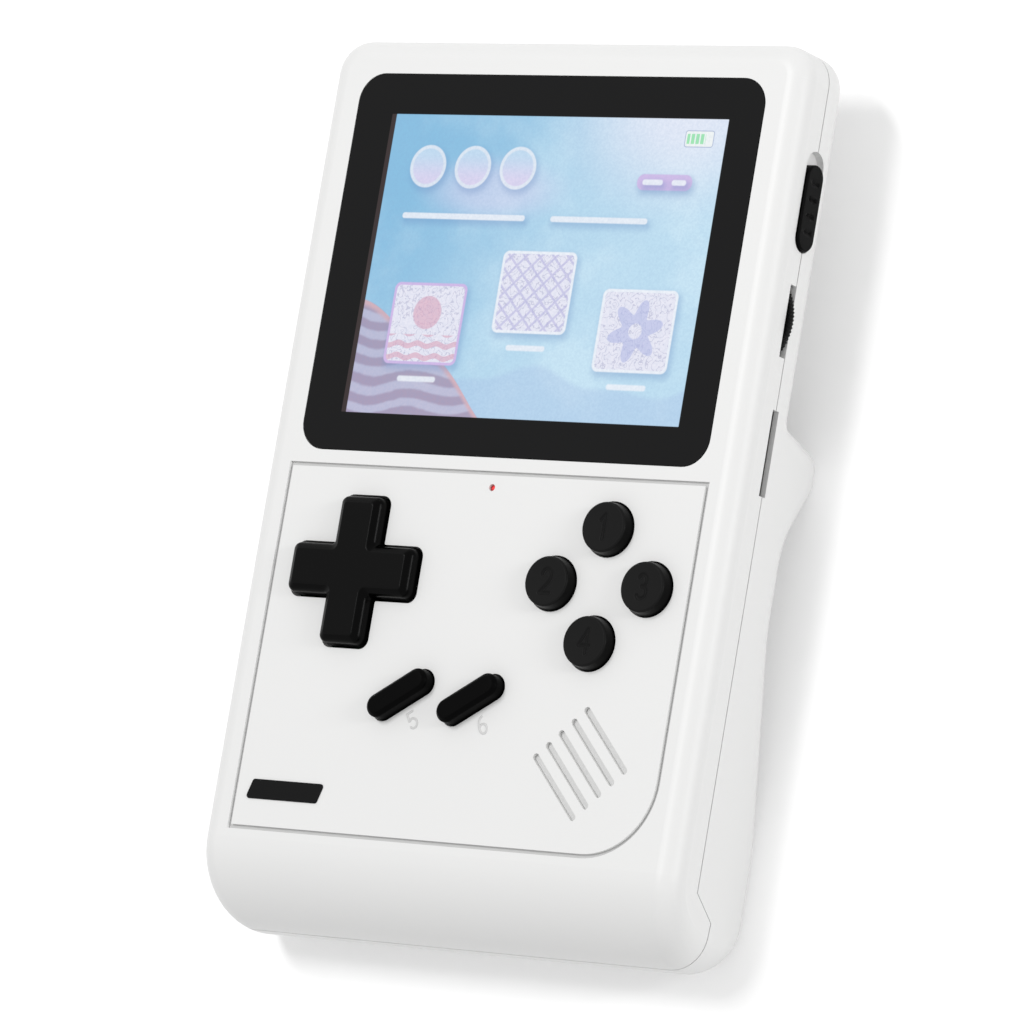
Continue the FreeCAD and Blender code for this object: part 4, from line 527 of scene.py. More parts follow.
def sky_picture(finish, x, y, clouds):
    """A sky with soft clouds, paler towards the lower right, with a pale glow at the upper
    right and a lilac sheen further left. Both fade with the distance from their middles."""
    drift = (y * 0.5 - x * 0.8).between(26.0, -14.0)
    haze = (drift * 0.8 + clouds * 0.35).at_most(1.0)
    picture = finish.mixed(haze, tuple(colours().sky), tuple(colours().haze))
    glow = distance(x - 22.0, (y - 23.0) * 1.4).between(26.0, 2.0)
    picture = finish.mixed(glow * 0.85, picture, GLOW)
    sheen = distance(x + 9.0, (y - 11.0) * 2.6).between(15.0, 4.0)
    return finish.mixed(sheen * 0.5, picture, SHEEN)


def hill_line(x, long_turn, shift, short_turn, level):
    """Height of a row of hills: a long and a short wave over a level."""
    return (x * long_turn + shift).sine() * 1.6 + (x * short_turn).sine() * 0.6 + level


def with_hills(finish, picture, x, y, clouds):
    """The picture with two rows of hills. The near row falls to the right, has wavy strata
    and a reddish crest."""
    far = hill_line(x, 0.17, 1.2, 0.43, -16.2) - y
    picture = finish.mixed(far.between(-0.6, 0.6) * 0.35, picture, tuple(colours().far_hills))
    near = hill_line(x, 0.16, 4.6, 0.41, -23.5) - x * 0.62 - y
    strata = (y * 2.4 + (x * 0.45).sine() * 1.4 + clouds * 1.5).sine().between(-0.5, 0.6)
    slope = finish.mixed(strata, tuple(colours().near_hills), STRATA)
    under = near.between(-0.15, 0.15)
    slope = finish.mixed(near.between(1.3, 0.3) * under, slope, CREST)
    return finish.mixed(under * 0.8, picture, slope)


def pasted(finish, picture, shape, tone, share=1.0):
    """A shape with a soft blue shadow at its lower right. The shape is a function of two
    shifts, which gives the distance to its outline."""
    picture = finish.mixed(shape(SHADOW_X, SHADOW_Y).between(1.1, -0.7) * 0.42, picture, DEEP)
    return finish.mixed(shape(0.0, 0.0).inside(SOFT) * share, picture, tone)


def with_tile(finish, picture, etched, x, y, motif, tone, border):
    """The picture with a tile: a border, an etched field with a motif, and a label."""
    picture = pasted(finish, picture, lambda u, v: rounded_box(x - u, y - v, *TILE), border)
    field = finish.mixed(etched * 0.55, (0.84, 0.84, 0.94), (0.42, 0.42, 0.60))
    field = finish.mixed(motif(x, y) * 0.62, field, tone)
    picture = finish.mixed(rounded_box(x, y, *FIELD).inside(0.08), picture, field)
    label = rounded_box(x, y + LABEL_DROP, *LABEL).inside(0.15)
    return finish.mixed(label * 0.9, picture, PALE)


def with_disc(finish, picture, x, y):
    """The picture with a pale disc, whose fill goes from lilac below to blue above."""
    picture = pasted(finish, picture, lambda u, v: distance(x - u, y - v) - DISC_RADIUS, PALE, 0.8)
    fill = finish.mixed(y.between(-2.4, 2.4), (0.72, 0.62, 0.88), (0.48, 0.70, 0.90))
    return finish.mixed((distance(x, y) - DISC_FILL_RADIUS).inside(SOFT) * 0.7, picture, fill)


def with_bar(finish, picture, x, y, half_x, half_y, tone):
    """The picture with a bar that has round ends."""
    radius = half_y * 0.95
    return pasted(
        finish, picture, lambda u, v: rounded_box(x - u, y - v, half_x, half_y, radius), tone, 0.9
    )


def with_battery(finish, picture, x, y):
    """The picture with a battery sign: an outline, a pale field and green bars."""
    cell = rounded_box(x, y, *CELL)
    picture = finish.mixed((abs(cell) - 0.1).inside(0.08), picture, (0.35, 0.42, 0.62))
    picture = finish.mixed(cell.inside(0.05), picture, (0.90, 0.94, 0.94))
    charge = rounded_box(x + CHARGE_SHIFT, y, *CHARGE).inside(0.06)
    bars = (x + BAR_SHIFT).waves(BAR_PITCH).between(-0.75, -0.45)
    return finish.mixed(charge * bars, picture, (0.36, 0.82, 0.46))


def screen_finish():
    """Black ink round a clear window, which shows the lit picture: a sky, three tiles,
    three discs, bars and a battery sign, under a faint grain of dots."""
    finish = Finish("screen_lens")
    x, y, _ = finish.along()
    x = (x - WINDOW_X) / MM
    y = (y - WINDOW_Y) / MM
    clouds = finish.noise(70.0, 5.0, 0.6).between(0.40, 0.75)
    picture = with_hills(finish, sky_picture(finish, x, y, clouds), x, y, clouds)
    etched =(abs((finish.noise(330.0, 3.0, 0.55) * 34.0).sine()) - 0.26).inside(0.16)
    for tile_x, tile_y, *look in TILES:
        picture = with_tile(finish, picture, etched, x - tile_x, y - tile_y, *look)
    for disc_x, disc_y in DISC_PLACES:
        picture = with_disc(finish, picture, x - disc_x, y - disc_y)
    for bar_x, bar_y, *look in BARS:
        picture = with_bar(finish, picture, x - bar_x, y - bar_y, *look)
    picture = with_battery(finish, picture, x - BATTERY_PLACE[0], y - BATTERY_PLACE[1])
    dots = finish.noise(1 / (0.32 * MM), 1.0).between(0.25, 0.75)
    picture = finish.mixed(dots * 0.13, picture, GRAIN_DOTS)
    lit = rounded_box(x - UNLIT, y, WINDOW_HALF_X - UNLIT, WINDOW_HALF_Y, WINDOW_CORNER).inside(0.06)
    window = rounded_box(x, y, WINDOW_HALF_X, WINDOW_HALF_Y, WINDOW_CORNER).inside(0.06)
    backing = finish.mixed(window, (0.0, 0.0, 0.0), (0.035, 0.022, 0.022))
    finish.set(
        Base_Color=finish.mixed(window, tuple(colours().lens), (0.012, 0.012, 0.013)),
        Emission_Color=finish.mixed(lit, backing, picture),
        Emission_Strength=0.96,
        Roughness=0.14,
        Specular_IOR_Level=0.12,
    )
    return finish.material


def painted(material, *nodes):
    """Gives CAD nodes their material."""
    for node in nodes:
        for slot in NODES[node].material_slots:
            slot.material = material


def built(name, grids, material, footed=True):
    """A mesh from grids of points, each a stack of closed loops that ends in a point.

    With a foot, the first loop of each grid is closed by one face. Without one, the first
    loop is a point as well. Points in the same place are merged."""
    vertices, faces, first = [], [], 0
    for points in grids:
        rows, columns, _ = points.shape
        index = np.arange(rows * columns).reshape(rows, columns) + first
        here, up = index[:-1], index[1:]
        quads = np.stack([here, np.roll(here, -1, 1), np.roll(up, -1, 1), up], -1)
        faces += quads.reshape(-1, 4).tolist()
        if footed:
            faces.append(index[0][::-1].tolist())
        vertices.append(points.reshape(-1, 3))
        first += rows * columns
    mesh = bpy.data.meshes.new(name)
    mesh.from_pydata(np.vstack(vertices), [], faces)
    shaped = bmesh.new()
    shaped.from_mesh(mesh)
    bmesh.ops.remove_doubles(shaped, verts=shaped.verts, dist=DOUBLE_POINT)
    bmesh.ops.recalc_face_normals(shaped, faces=shaped.faces)
    shaped.to_mesh(mesh)
    shaped.free()
    mesh.shade_smooth()
    mesh.set_sharp_from_angle(angle=SHARP_EDGE)
    mesh.materials.append(material)
    piece = bpy.data.objects.new(name, mesh)
    bpy.context.scene.collection.objects.link(piece)
    return piece


def settled(piece, node, body):
    """A new piece stands for its node and moves with its body."""
    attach(piece, body)
    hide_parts(node)


def middle_of(node):
    """Middle of a node seen from the front as a complex number, its foot and its top."""
    low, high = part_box(node)
    return complex(low.x + high.x, low.y + high.y) / 2, low.z, high.z


def bar_corners(reach, half, lean=0.0):
    """The corners of a bar, anticlockwise from its lower right one. Its upper edge is moved
    to the right by the lean, and its lower edge to the left."""
    return [
        complex(reach - lean, -half), complex(reach + lean, half),
        complex(-reach + lean, half), complex(-reach - lean, -half),
    ]


def stadium(reach, half):
    """The corners and radii of a bar with round ends. The radius is slightly under half
    the width, so that the arcs don't meet."""
    return bar_corners(reach, half), np.full(4, half * 0.998)


def outline(corners, radii, inset, arc_points=9, run_points=6):
    """A polygon with rounded corners as complex numbers, moved inwards by an inset.

    Each corner moves along its bisector. Its arc touches both edges, is smaller by the
    inset where the outline turns left and somewhat larger where it turns right, and is
    swept by turning the arc's first radius. The runs between the arcs are divided evenly."""
    growth = 0.3
    corners = np.asarray(corners)
    ahead = np.roll(corners, -1) - corners
    ahead /= abs(ahead)
    before = np.roll(ahead, 1)
    turn = np.angle(ahead / before)
    moved = corners + inset * 1j * (before + ahead) / (1 + (before * ahead.conj()).real)
    radius = np.where(turn > 0, np.maximum(radii - inset, SMALLEST_CORNER), radii + growth * inset)
    start = moved - before * radius * np.tan(abs(turn) / 2)
    middle = start + 1j * before * np.sign(turn) * radius
    sweep = np.exp(1j * turn[:, None] * np.linspace(0, 1, arc_points))
    arcs = middle[:, None] + (start - middle)[:, None] * sweep
    steps = np.linspace(0, 1, run_points + 2)[1:-1]
    runs = arcs[:, -1:] + (np.roll(arcs[:, :1], -1, 0) - arcs[:, -1:]) * steps
    return np.hstack([arcs, runs]).ravel()


def rim(shoulder, run, crease, degrees):
    """A rim in section, as complex numbers of inset and rise: an arc from upright to a
    slope, a straight run and a second arc from the slope to flat."""
    slope = math.radians(degrees)
    lower = np.exp(1j * np.linspace(np.pi / 2, slope, 7))
    upper = np.exp(1j * np.linspace(slope, 0, 5))
    arc = 1j * shoulder * (lower - lower[0])
    end = arc[-1] + run * upper[0]
    return np.concatenate([arc, end + 1j * crease * (upper - upper[0])])


FAINT_RIM = rim(0.02 * MM, 0.01 * MM, 0.02 * MM, 45)


def cap(loop, place, levels, lean, section, rings, relief=None):
    """A key's cap on an outline, given as a function of its inset.

    The wall stands upright from the lowest level to the middle one, leans in up to the
    rim's section and ends flat at the top level. The top is made of outlines that shrink
    evenly to the middle, raised by the relief at each place."""
    low, foot, top = levels
    insets = np.array([0.0, 0.0, *(section.real + lean)])
    heights = np.array([low, foot, *(section.imag - section.imag[-1] + top)])
    walls = np.stack([loop(inset) for inset in insets])
    inner = walls[-1] * np.linspace(1, 0, rings + 1)[1:, None]
    rise = relief(inner) if relief else 0 * inner.real
    flat = np.vstack([walls, inner])
    height = np.vstack([heights[:, None] + 0 * walls.real, top + rise])
    return np.dstack([flat.real + place.real, flat.imag + place.imag, height])


def circle(count):
    """Points round the unit circle as complex numbers."""
    return np.exp(1j * np.linspace(0, 2 * np.pi, count, endpoint=False))


def lathed(place, ring, rows):
    """A turned surface: each row holds a radius, for all of the circle's points or one for
    each, and a height."""
    flat = np.stack([radius * ring for radius, _ in rows]) + place
    height = np.array([height for _, height in rows])[:, None] + 0 * flat.real
    return np.dstack([flat.real, flat.imag, height])


def curve(middle, across, up, start, stop, count=14):
    """Points along part of an ellipse between two angles in degrees."""
    turn = np.radians(np.linspace(start, stop, count))
    return middle + across * np.cos(turn) + 1j * up * np.sin(turn)


# Strokes of the numerals. 1 is half a numeral's width to the right, and 1j half its height up.
NUMERALS = {
    1: ([0.1 + 1j, 0.1 - 1j], [0.1 + 1j, -0.4 + 0.55j]),
    2: ([*curve(0.4j, 0.6, 0.6, 165, -42), -0.62 - 1j], [-0.62 - 1j, 0.64 - 1j]),
    3: (curve(0.5j, 0.52, 0.5, 150, -90), curve(-0.48j, 0.6, 0.52, 90, -150)),
    4: ([0.32 + 1j, 0.32 - 1j], [0.32 + 1j, -0.66 - 0.35j], [-0.66 - 0.35j, 0.7 - 0.35j]),
    5: ([0.5 + 1j, -0.42 + 1j], [-0.42 + 1j, -0.48 + 0.08j], curve(-0.4j, 0.6, 0.6, 128, -150)),
    6: (curve(0.42 - 0.42j, 0.98, 1.42, 92, 180), curve(-0.42j, 0.56, 0.58, 0, 360, 24)),
}


def drawn(numeral, half_width, half_height):
    """A numeral's strokes at their real size."""
    strokes = [np.asarray(stroke) for stroke in NUMERALS[numeral]]
    return [stroke.real * half_width + 1j * stroke.imag * half_height for stroke in strokes]


def bowl(spot, radius):
    """The hollow in a round key's top: a paraboloid that ends at a radius."""
    return -sizes().key_dish * np.clip(1 - abs(spot / radius) ** 2, 0, 1)


def grooves(place, strokes):
    """Grooves along strokes, by the distance to the nearest straight piece of a stroke:
    flat to a third of the half width, then rising smoothly to the surface."""
    nearest = np.full(place.shape, np.inf)
    for stroke in strokes:
        for start, stop in zip(stroke[:-1], stroke[1:]):
            run = stop - start
            share = np.clip(((place - start) * np.conj(run)).real / abs(run) ** 2, 0, 1)
            nearest = np.minimum(nearest, abs(place - start - share * run))
    rise = np.clip((1 - nearest / sizes().mark_width) * 1.5, 0, 1)
    return -sizes().mark_depth * rise * rise * (3 - 2 * rise)


def finger_grooves(spot):
    """Four short grooves across the power knob, by the distance to the nearest one's
    middle, with sloped sides and ends."""
    pitch, half_width, side_slope = 2.3 * MM, 0.30 * MM, 0.18 * MM
    depth, half_length, end_slope = 0.22 * MM, 1.0 * MM, 0.2 * MM
    beside = np.abs(spot.real / pitch % 1 - 0.5) * pitch
    across = np.clip((half_width - beside) / side_slope, 0, 1)
    along = np.clip((half_length - abs(spot.imag)) / end_slope, 0, 1)
    return -depth * across * along * (abs(spot.real) < 2 * pitch)


def ridge(stroke, radius, height):
    """A rounded bead along a stroke: circles across its path, flattened to the height,
    that shrink to a point half a circle past each end."""
    path = np.asarray(stroke)
    ahead = np.gradient(path)
    ahead /= abs(ahead)
    close = np.radians([0, 30, 60])
    fore = path[0] - ahead[0] * radius * np.cos(close)
    aft = path[-1] + ahead[-1] * radius * np.cos(close[::-1])
    middles = np.concatenate([fore, path, aft])
    ahead = np.concatenate([ahead[:1].repeat(3), ahead, ahead[-1:].repeat(3)])
    width = np.concatenate([np.sin(close), np.ones(len(path)), np.sin(close[::-1])])[:, None]
    round_angle = np.linspace(0, 2 * np.pi, 12, endpoint=False)
    flat = middles[:, None] + 1j * ahead[:, None] * width * radius * np.cos(round_angle)
    rise = FRONT + width * height * np.sin(round_angle)
    return np.dstack([flat.real, flat.imag, rise])


class ConsoleOperator:
    """What all the operators share."""

    bl_options = {"REGISTER", "UNDO"}


class HANDHELD_OT_shells(ConsoleOperator, bpy.types.Operator):
    """Give the two shells and the battery cover their moulded finish"""

    bl_idname = "handheld.shells"
    bl_label = "Shells"

    def execute(self, context):
        look = {
            "base": colours().shell,
            "roughness": 0.43,
            "grain": sizes().grain,
            "depth": GRAIN_DEPTH,
            "shade": 0.012,
        }
        painted(plastic("white_front", **look, toned=lined), "front_shell")
        painted(plastic("white_shell", **look), "back_shell", "battery_cover")
        return {"FINISHED"}


class HANDHELD_OT_screen(ConsoleOperator, bpy.types.Operator):
    """Give the screen lens its black border and its lit picture"""

    bl_idname = "handheld.screen"
    bl_label = "Screen"

    def execute(self, context):
        painted(screen_finish(), "screen_lens")
        return {"FINISHED"}


class HANDHELD_OT_round_keys(ConsoleOperator, bpy.types.Operator):
    """Build the four round keys with rounded rims, shallow hollows and plain numerals"""

    bl_idname = "handheld.round_keys"
    bl_label = "Round keys"

    def execute(self, context):
        size = sizes()
        black = cap_finish(
            "black_keys", "button_x", colours().round_keys,
            roughness=0.34, gloss=0.052, depths=(0.13 * MM, 0.38 * MM),
        )
        ring = circle(216)
        section = rim(shoulder=0.34 * MM, run=0.12 * MM, crease=0.14 * MM, degrees=40)
        hollow = size.key_radius - size.key_lean - section.real[-1]
        half_width, half_height = 1.30 * MM, 1.70 * MM
        for node, (body, numeral) in ROUND_KEYS.items():
            place, low, top = middle_of(node)
            strokes = drawn(numeral, half_width, half_height)
            grid = cap(
                lambda inset: (size.key_radius - inset) * ring,
                place, (low + CAP_FOOT, FRONT, top), size.key_lean, section, rings=66,
                relief=lambda spot: bowl(spot, hollow) + grooves(spot, strokes),
            )
            settled(built(node + "_cap", [grid], black), node, body)
        return {"FINISHED"}


class HANDHELD_OT_cross_pad(ConsoleOperator, bpy.types.Operator):
    """Build the cross pad with its rounded rim"""

    bl_idname = "handheld.cross_pad"
    bl_label = "Cross pad"

    def execute(self, context):
        size = sizes()
        black = cap_finish(
            "black_pad", "dpad", colours().pad,
            roughness=0.24, gloss=0.055, depths=(0.02 * MM, 0.10 * MM),
        )
        place, low, top = middle_of("dpad")
        reach, arm = size.pad_reach, size.pad_arm
        quarter = np.array([complex(reach, -arm), complex(reach, arm), complex(arm, arm)])
        corners = np.concatenate([quarter * 1j**turn for turn in range(4)])
        radii = np.array([size.pad_corner, size.pad_corner, size.pad_crook] * 4)
        section = rim(shoulder=1.05 * MM, run=size.pad_slope, crease=0.30 * MM, degrees=34)
        grid = cap(
            lambda inset: outline(corners, radii, inset, 9, 10),
            place, (low + CAP_FOOT, FRONT, top), lean=0.08 * MM, section=section, rings=12,
        )
        settled(built("dpad_cross", [grid], black), "dpad", "pad")
        return {"FINISHED"}


class HANDHELD_OT_menu_keys(ConsoleOperator, bpy.types.Operator):
    """Build the two slanted menu keys and the plain raised numerals beside them"""

    bl_idname = "handheld.menu_keys"
    bl_label = "Menu keys"

    def execute(self, context):
        size = sizes()
        black = key_plastic("black_menu_keys", share=0.2, roughness=0.40, gloss=0.03)
        # Painted shade: the raised numerals get a grey that stands in for the shade along their relief
        grey = plastic(
            "grey_painted_shade_marks", (0.66, 0.66, 0.655),
            roughness=0.40, grain=0.3 * MM, depth=0.003 * MM, shade=0.03,
        )
        corners, radii = stadium(size.menu_reach, size.menu_half)
        section = rim(shoulder=0.45 * MM, run=size.menu_slope, crease=0.18 * MM, degrees=42)
        half_width, half_height, drop = 1.05 * MM, 1.20 * MM, 4.1 * MM
        bead_radius, bead_height = 0.19 * MM, 0.10 * MM
        for node, (body, numeral) in MENU_KEYS.items():
            place, low, top = middle_of(node)
            grid = cap(
                lambda inset: outline(corners, radii, inset) * MENU_SLANT,
                place, (low + CAP_FOOT, FRONT, top), lean=0.05 * MM, section=section, rings=8,
            )
            settled(built(node + "_cap", [grid], black), node, body)
            beside = place - 1j * MENU_SLANT * drop
            strokes = [beside + stroke * MENU_SLANT for stroke in drawn(numeral, half_width, half_height)]
            beads = [ridge(stroke, bead_radius, bead_height) for stroke in strokes]
            mark = built(f"mark_{numeral}", beads, grey, footed=False)
            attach(mark, "housing")
        return {"FINISHED"}


class HANDHELD_OT_badge(ConsoleOperator, bpy.types.Operator):
    """Build the blank black badge in the lower left corner of the control panel"""

    bl_idname = "handheld.badge"
    bl_label = "Blank badge"

    def execute(self, context):
        black = key_plastic("black_badge", share=1.0, roughness=0.30, gloss=0.08)
        place = complex(-26.8, -45.3) * MM
        reach, half, lean = 6.2 * MM, 1.40 * MM, 0.45 * MM
        sunk, height = 0.05 * MM, 0.16 * MM
        corners = bar_corners(reach, half, lean)
        grid = cap(
            lambda inset: outline(corners, np.full(4, SMALLEST_CORNER), inset),
            place, (FRONT - sunk, FRONT, FRONT + height),
            lean=0.0, section=rim(0.04 * MM, 0.01 * MM, 0.03 * MM, 45), rings=6,
        )
        badge = built("blank_badge", [grid], black)
        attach(badge, "housing")
        return {"FINISHED"}


class HANDHELD_OT_slots(ConsoleOperator, bpy.types.Operator):
    """Build the pale woven strips that stand in the five sound slots"""

    bl_idname = "handheld.slots"
    bl_label = "Sound slots"

    def execute(self, context):
        reach, half, pitch = 5.98 * MM, 0.48 * MM, 2.5 * MM
        levels = (FRONT - 2.15 * MM, FRONT - 1.0 * MM, FRONT - 0.6 * MM)
        corners, radii = stadium(reach, half)
        speaker = middle_of("speaker")[0]
        strips = [
            cap(
                lambda inset: outline(corners, radii, inset) * SLOT_SLANT,
                speaker + 1j * SLOT_SLANT * row * pitch, levels, lean=0.0, section=FAINT_RIM, rings=5,
            )
            for row in range(-2, 3)
        ]
        mesh = built("speaker_mesh", strips, woven_finish())
        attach(mesh, "housing")
        return {"FINISHED"}


class HANDHELD_OT_slider(ConsoleOperator, bpy.types.Operator):
    """Build the power knob with its four short finger grooves, and its stem"""

    bl_idname = "handheld.slider"
    bl_label = "Power knob"

    def execute(self, context):
        black = key_plastic("black_knob", share=0.3, roughness=0.42, gloss=0.05)
        low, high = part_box("power_slider")
        place = complex(low.y + high.y, low.z + high.z) / 2
        thickness, rim_depth, overlap = 1.5 * MM, 0.6 * MM, 0.05 * MM
        corners, radii = stadium((high.y - low.y) / 2, (high.z - low.z) / 2)
        knob = cap(
            lambda inset: outline(corners, radii, inset, 12, 60),
            place, (high.x - thickness, high.x - rim_depth, high.x),
            lean=0.0, section=rim(0.35 * MM, 0.02 * MM, 0.10 * MM, 40), rings=24, relief=finger_grooves,
        )
        stem_corners = bar_corners(1.5 * MM, 0.7 * MM)
        stem = cap(
            lambda inset: outline(stem_corners, np.full(4, 0.1 * MM), inset),
            place, (low.x, low.x + 1.0 * MM, high.x - thickness + overlap),
            lean=0.0, section=FAINT_RIM, rings=3,
        )
        sideways = [grid[..., [2, 0, 1]] for grid in (knob, stem)]
        settled(built("power_knob", sideways, black), "power_slider", "slider")
        return {"FINISHED"}


class HANDHELD_OT_wheel(ConsoleOperator, bpy.types.Operator):
    """Build the volume wheel with its fine teeth"""

    bl_idname = "handheld.wheel"
    bl_label = "Volume wheel"

    def execute(self, context):
        size = sizes()
        black = key_plastic("black_wheel", share=0.6, roughness=0.45, gloss=0.08)
        place, low, top = middle_of("volume_wheel")
        points_per_tooth = 8
        count = size.teeth * points_per_tooth
        wave = (1 + np.cos(np.linspace(0, 2 * np.pi, count, endpoint=False) * size.teeth)) / 2
        edge = size.wheel_radius - size.tooth * wave
        bevel, seat, recess = 0.15 * MM, 1.6 * MM, 0.25 * MM
        tyre, recess_out, recess_in, hub = 6.4 * MM, 6.1 * MM, 2.6 * MM, 2.4 * MM
        rows = [
            (seat, low), (edge - bevel, low), (edge, low + bevel), (edge, top - bevel),
            (edge - bevel, top), (tyre, top), (recess_out, top - recess),
            (recess_in, top - recess), (hub, top), (0.0, top),
        ]
        wheel = built("volume_wheel_rim", [lathed(place, circle(count), rows)], black)
        settled(wheel, "volume_wheel", "wheel")
        return {"FINISHED"}


class HANDHELD_OT_light(ConsoleOperator, bpy.types.Operator):
    """Build the power light's red guide, whose end stands somewhat under the front"""

    bl_idname = "handheld.light"
    bl_label = "Power light"

    def execute(self, context):
        red = light_finish()
        painted(red, "led_chip")
        place, low, high = middle_of("led_guide")
        stem, flange, flange_low, flange_high = 0.45 * MM, 0.95 * MM, 16.8 * MM, 17.8 * MM
        sunk, bevel = 0.42 * MM, 0.06 * MM
        top = high - sunk
        rows = [
            (stem, low), (stem, flange_low), (flange, flange_low), (flange, flange_high),
            (stem, flange_high), (stem, top - bevel), (stem - bevel, top), (0.0, top),
        ]
        guide = built("light_guide", [lathed(place, circle(48), rows)], red)
        settled(guide, "led_guide", "housing")
        return {"FINISHED"}


# Name, tone, roughness, size and depth of the grain in millimetres, and the nodes
PLASTIC_PARTS = (
    ("black_rubber", (0.02, 0.02, 0.02), 0.7, 0.4, 0.01, ("dpad_mat", "keys_mat", "menu_mat")),
    ("black_moulding", (0.015, 0.015, 0.016), 0.5, 0.4, 0.006, (
        "power_switch", "volume_pot", "audio_jack", "left_trigger_switch", "right_trigger_switch",
        "dpad_post", "card_socket",
    )),
    ("green_board", (0.01, 0.13, 0.05), 0.4, 0.8, 0.004, (
        "main_board", "left_trigger_board", "right_trigger_board",
    )),
    ("silver_wrap", (0.55, 0.56, 0.58), 0.35, 0.8, 0.01, ("battery",)),
    ("amber_film", (0.45, 0.20, 0.03), 0.3, 0.8, 0.002, ("lcd_flex",)),
)
# Name, tone, roughness and the nodes
METAL_PARTS = (
    ("steel", (0.62, 0.63, 0.64), 0.32, ("board_screws", "usb_socket", "dpad_pivot", "lcd_module")),
    ("dark_steel", (0.20, 0.20, 0.21), 0.38, ("shell_screws",)),
    ("gold_contacts", (0.83, 0.60, 0.25), 0.28, ("battery_contacts",)),
)


class HANDHELD_OT_small_parts(ConsoleOperator, bpy.types.Operator):
    """Give the switch, shoulder keys, sockets and inner parts their finishes"""

    bl_idname = "handheld.small_parts"
    bl_label = "Small parts"

    def execute(self, context):
        black = key_plastic("black_parts", share=1.0, roughness=0.42, gloss=0.12)
        painted(black, "left_trigger", "right_trigger")
        for name, tone, roughness, grain, depth, nodes in PLASTIC_PARTS:
            painted(plastic(name, tone, roughness, grain * MM, depth * MM), *nodes)
        for name, tone, roughness, nodes in METAL_PARTS:
            painted(metal(name, tone, roughness), *nodes)
        painted(speaker_finish(), "speaker")
        return {"FINISHED"}


def studio_world():
    """Even light from all round, which looks white to the camera, in gloss and in glass."""
    white = (1, 1, 1)
    world = bpy.data.worlds.new("studio")
    world.use_nodes = True
    nodes = ShaderNodes(world.node_tree)
    soft = world.node_tree.nodes["Background"]
    nodes.join(soft.inputs["Color"], white)
    nodes.join(soft.inputs["Strength"], studio().sky_light)
    bright = nodes.node("ShaderNodeBackground", {}, {"Color": white})
    light = nodes.node("ShaderNodeMixShader", {}, (nodes.seen(), Number(nodes, soft.outputs[0]), bright))
    nodes.join(world.node_tree.nodes["World Output"].inputs["Surface"], light)
    return world


def floor_finish():
    """Matt pale floor that is brighter to the camera, in gloss and in glass."""
    finish = Finish("pale_floor")
    finish.set(
        Base_Color=tuple(colours().floor),
        Roughness=0.9,
        Emission_Color=finish.mixed(finish.seen(), (0, 0, 0), (1, 1, 1)),
        Emission_Strength=studio().floor_glow,
    )
    return finish.material


def lamp(name, place, power, sides):
    """A soft rectangular lamp that faces the console."""
    light = bpy.data.lights.new(name, "AREA")
    light.energy = power
    light.shape = "RECTANGLE"
    light.size, light.size_y = sides
    holder = bpy.data.objects.new(name, light)
    holder.location = place
    holder.rotation_euler = (-Vector(place)).to_track_quat("-Z", "Y").to_euler()
    bpy.context.scene.collection.objects.link(holder)


def studio_camera():
    """The camera, which looks ahead with its top as near as possible to the given up."""
    camera = bpy.data.cameras.new("camera")
    camera.sensor_width = 36
    camera.lens = studio().lens_mm
    camera.clip_start = 0.01
    camera.clip_end = 50
    eye = bpy.data.objects.new("camera", camera)
    bpy.context.scene.collection.objects.link(eye)
    ahead = Vector(CAMERA_AHEAD).normalized()
    right = ahead.cross(Vector(CAMERA_UP)).normalized()
    turn = Matrix((right, right.cross(ahead), -ahead)).transposed().to_4x4()
    eye.matrix_world = Matrix.Translation(CAMERA_PLACE) @ turn
    return eye


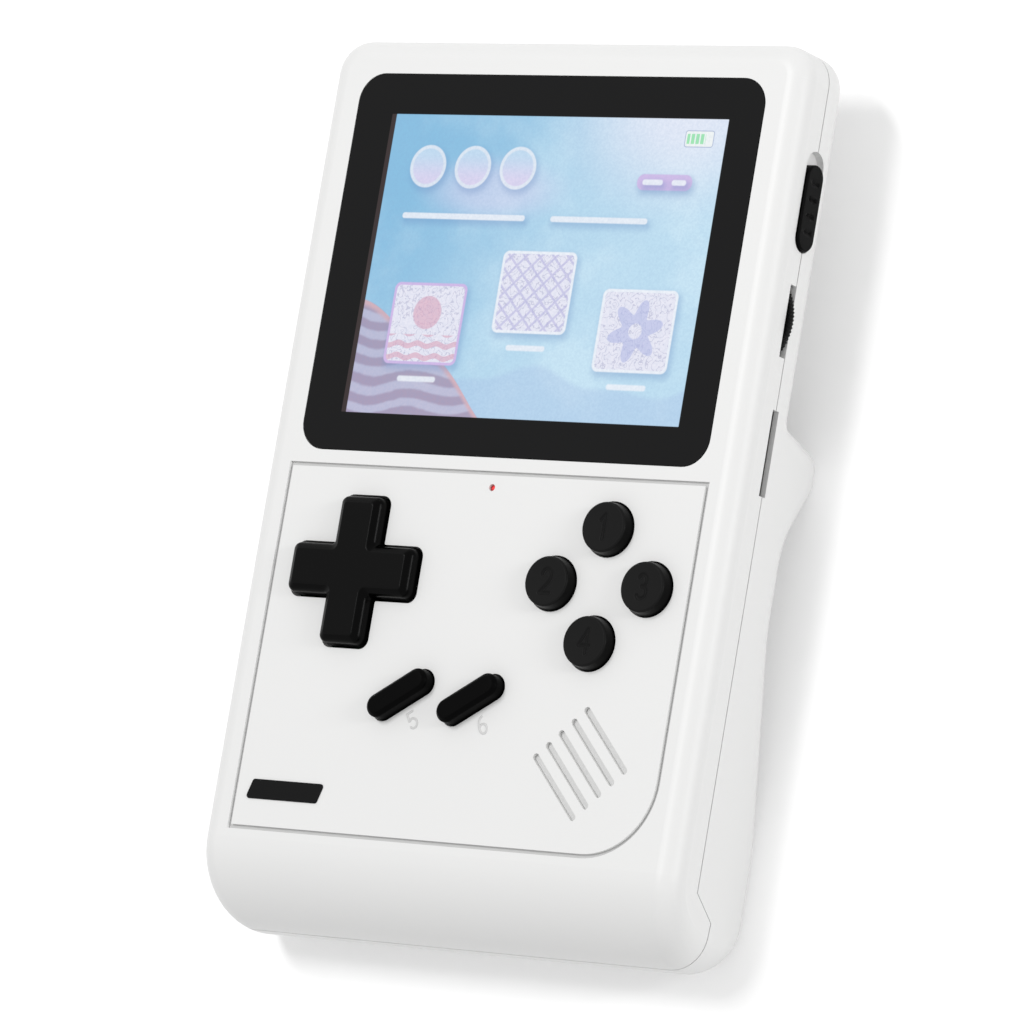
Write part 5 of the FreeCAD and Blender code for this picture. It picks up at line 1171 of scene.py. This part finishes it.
class HANDHELD_OT_stage(ConsoleOperator, bpy.types.Operator):
    """Build the pale floor, the soft lamps and the camera"""

    bl_idname = "handheld.stage"
    bl_label = "Stage"

    def execute(self, context):
        half, level = 6.0, -0.05 * MM
        mesh = bpy.data.meshes.new("floor")
        edge = [(-half, -half, level), (half, -half, level), (half, half, level), (-half, half, level)]
        mesh.from_pydata(edge, [], [(0, 1, 2, 3)])
        mesh.materials.append(floor_finish())
        floor = bpy.data.objects.new("floor", mesh)
        context.scene.collection.objects.link(floor)
        context.scene.world = studio_world()
        lamp("top_lamp", TOP_LAMP_PLACE, studio().top_light, sides=(0.20, 0.50))
        lamp("side_lamp", SIDE_LAMP_PLACE, studio().side_light, sides=(0.18, 0.40))
        context.scene.camera = studio_camera()
        context.scene.view_settings.view_transform = "Standard"
        return {"FINISHED"}


class HANDHELD_PT_pieces(bpy.types.Panel):
    """The console's pieces in the sidebar"""

    bl_idname = "HANDHELD_PT_pieces"
    bl_label = "Handheld Console"
    bl_space_type = "VIEW_3D"
    bl_region_type = "UI"
    bl_category = "Console"

    def draw(self, context):
        for operator in OPERATORS:
            self.layout.operator(operator.bl_idname)


OPERATORS = (
    HANDHELD_OT_shells,
    HANDHELD_OT_screen,
    HANDHELD_OT_cross_pad,
    HANDHELD_OT_round_keys,
    HANDHELD_OT_menu_keys,
    HANDHELD_OT_badge,
    HANDHELD_OT_slots,
    HANDHELD_OT_slider,
    HANDHELD_OT_wheel,
    HANDHELD_OT_light,
    HANDHELD_OT_small_parts,
    HANDHELD_OT_stage,
)
CLASSES = (ConsoleColours, ConsoleSizes, ConsoleStudio, *OPERATORS, HANDHELD_PT_pieces)


def register():
    for each in CLASSES:
        bpy.utils.register_class(each)
    bpy.types.Scene.console_colours = PointerProperty(type=ConsoleColours)
    bpy.types.Scene.console_sizes = PointerProperty(type=ConsoleSizes)
    bpy.types.Scene.console_studio = PointerProperty(type=ConsoleStudio)


def unregister():
    del bpy.types.Scene.console_studio
    del bpy.types.Scene.console_sizes
    del bpy.types.Scene.console_colours
    for each in reversed(CLASSES):
        bpy.utils.unregister_class(each)


def main():
    """Builds every piece and the stage."""
    register()
    bpy.ops.handheld.shells()
    bpy.ops.handheld.screen()
    bpy.ops.handheld.cross_pad()
    bpy.ops.handheld.round_keys()
    bpy.ops.handheld.menu_keys()
    bpy.ops.handheld.badge()
    bpy.ops.handheld.slots()
    bpy.ops.handheld.slider()
    bpy.ops.handheld.wheel()
    bpy.ops.handheld.light()
    bpy.ops.handheld.small_parts()
    bpy.ops.handheld.stage()


if __name__ == "__main__":
    main()
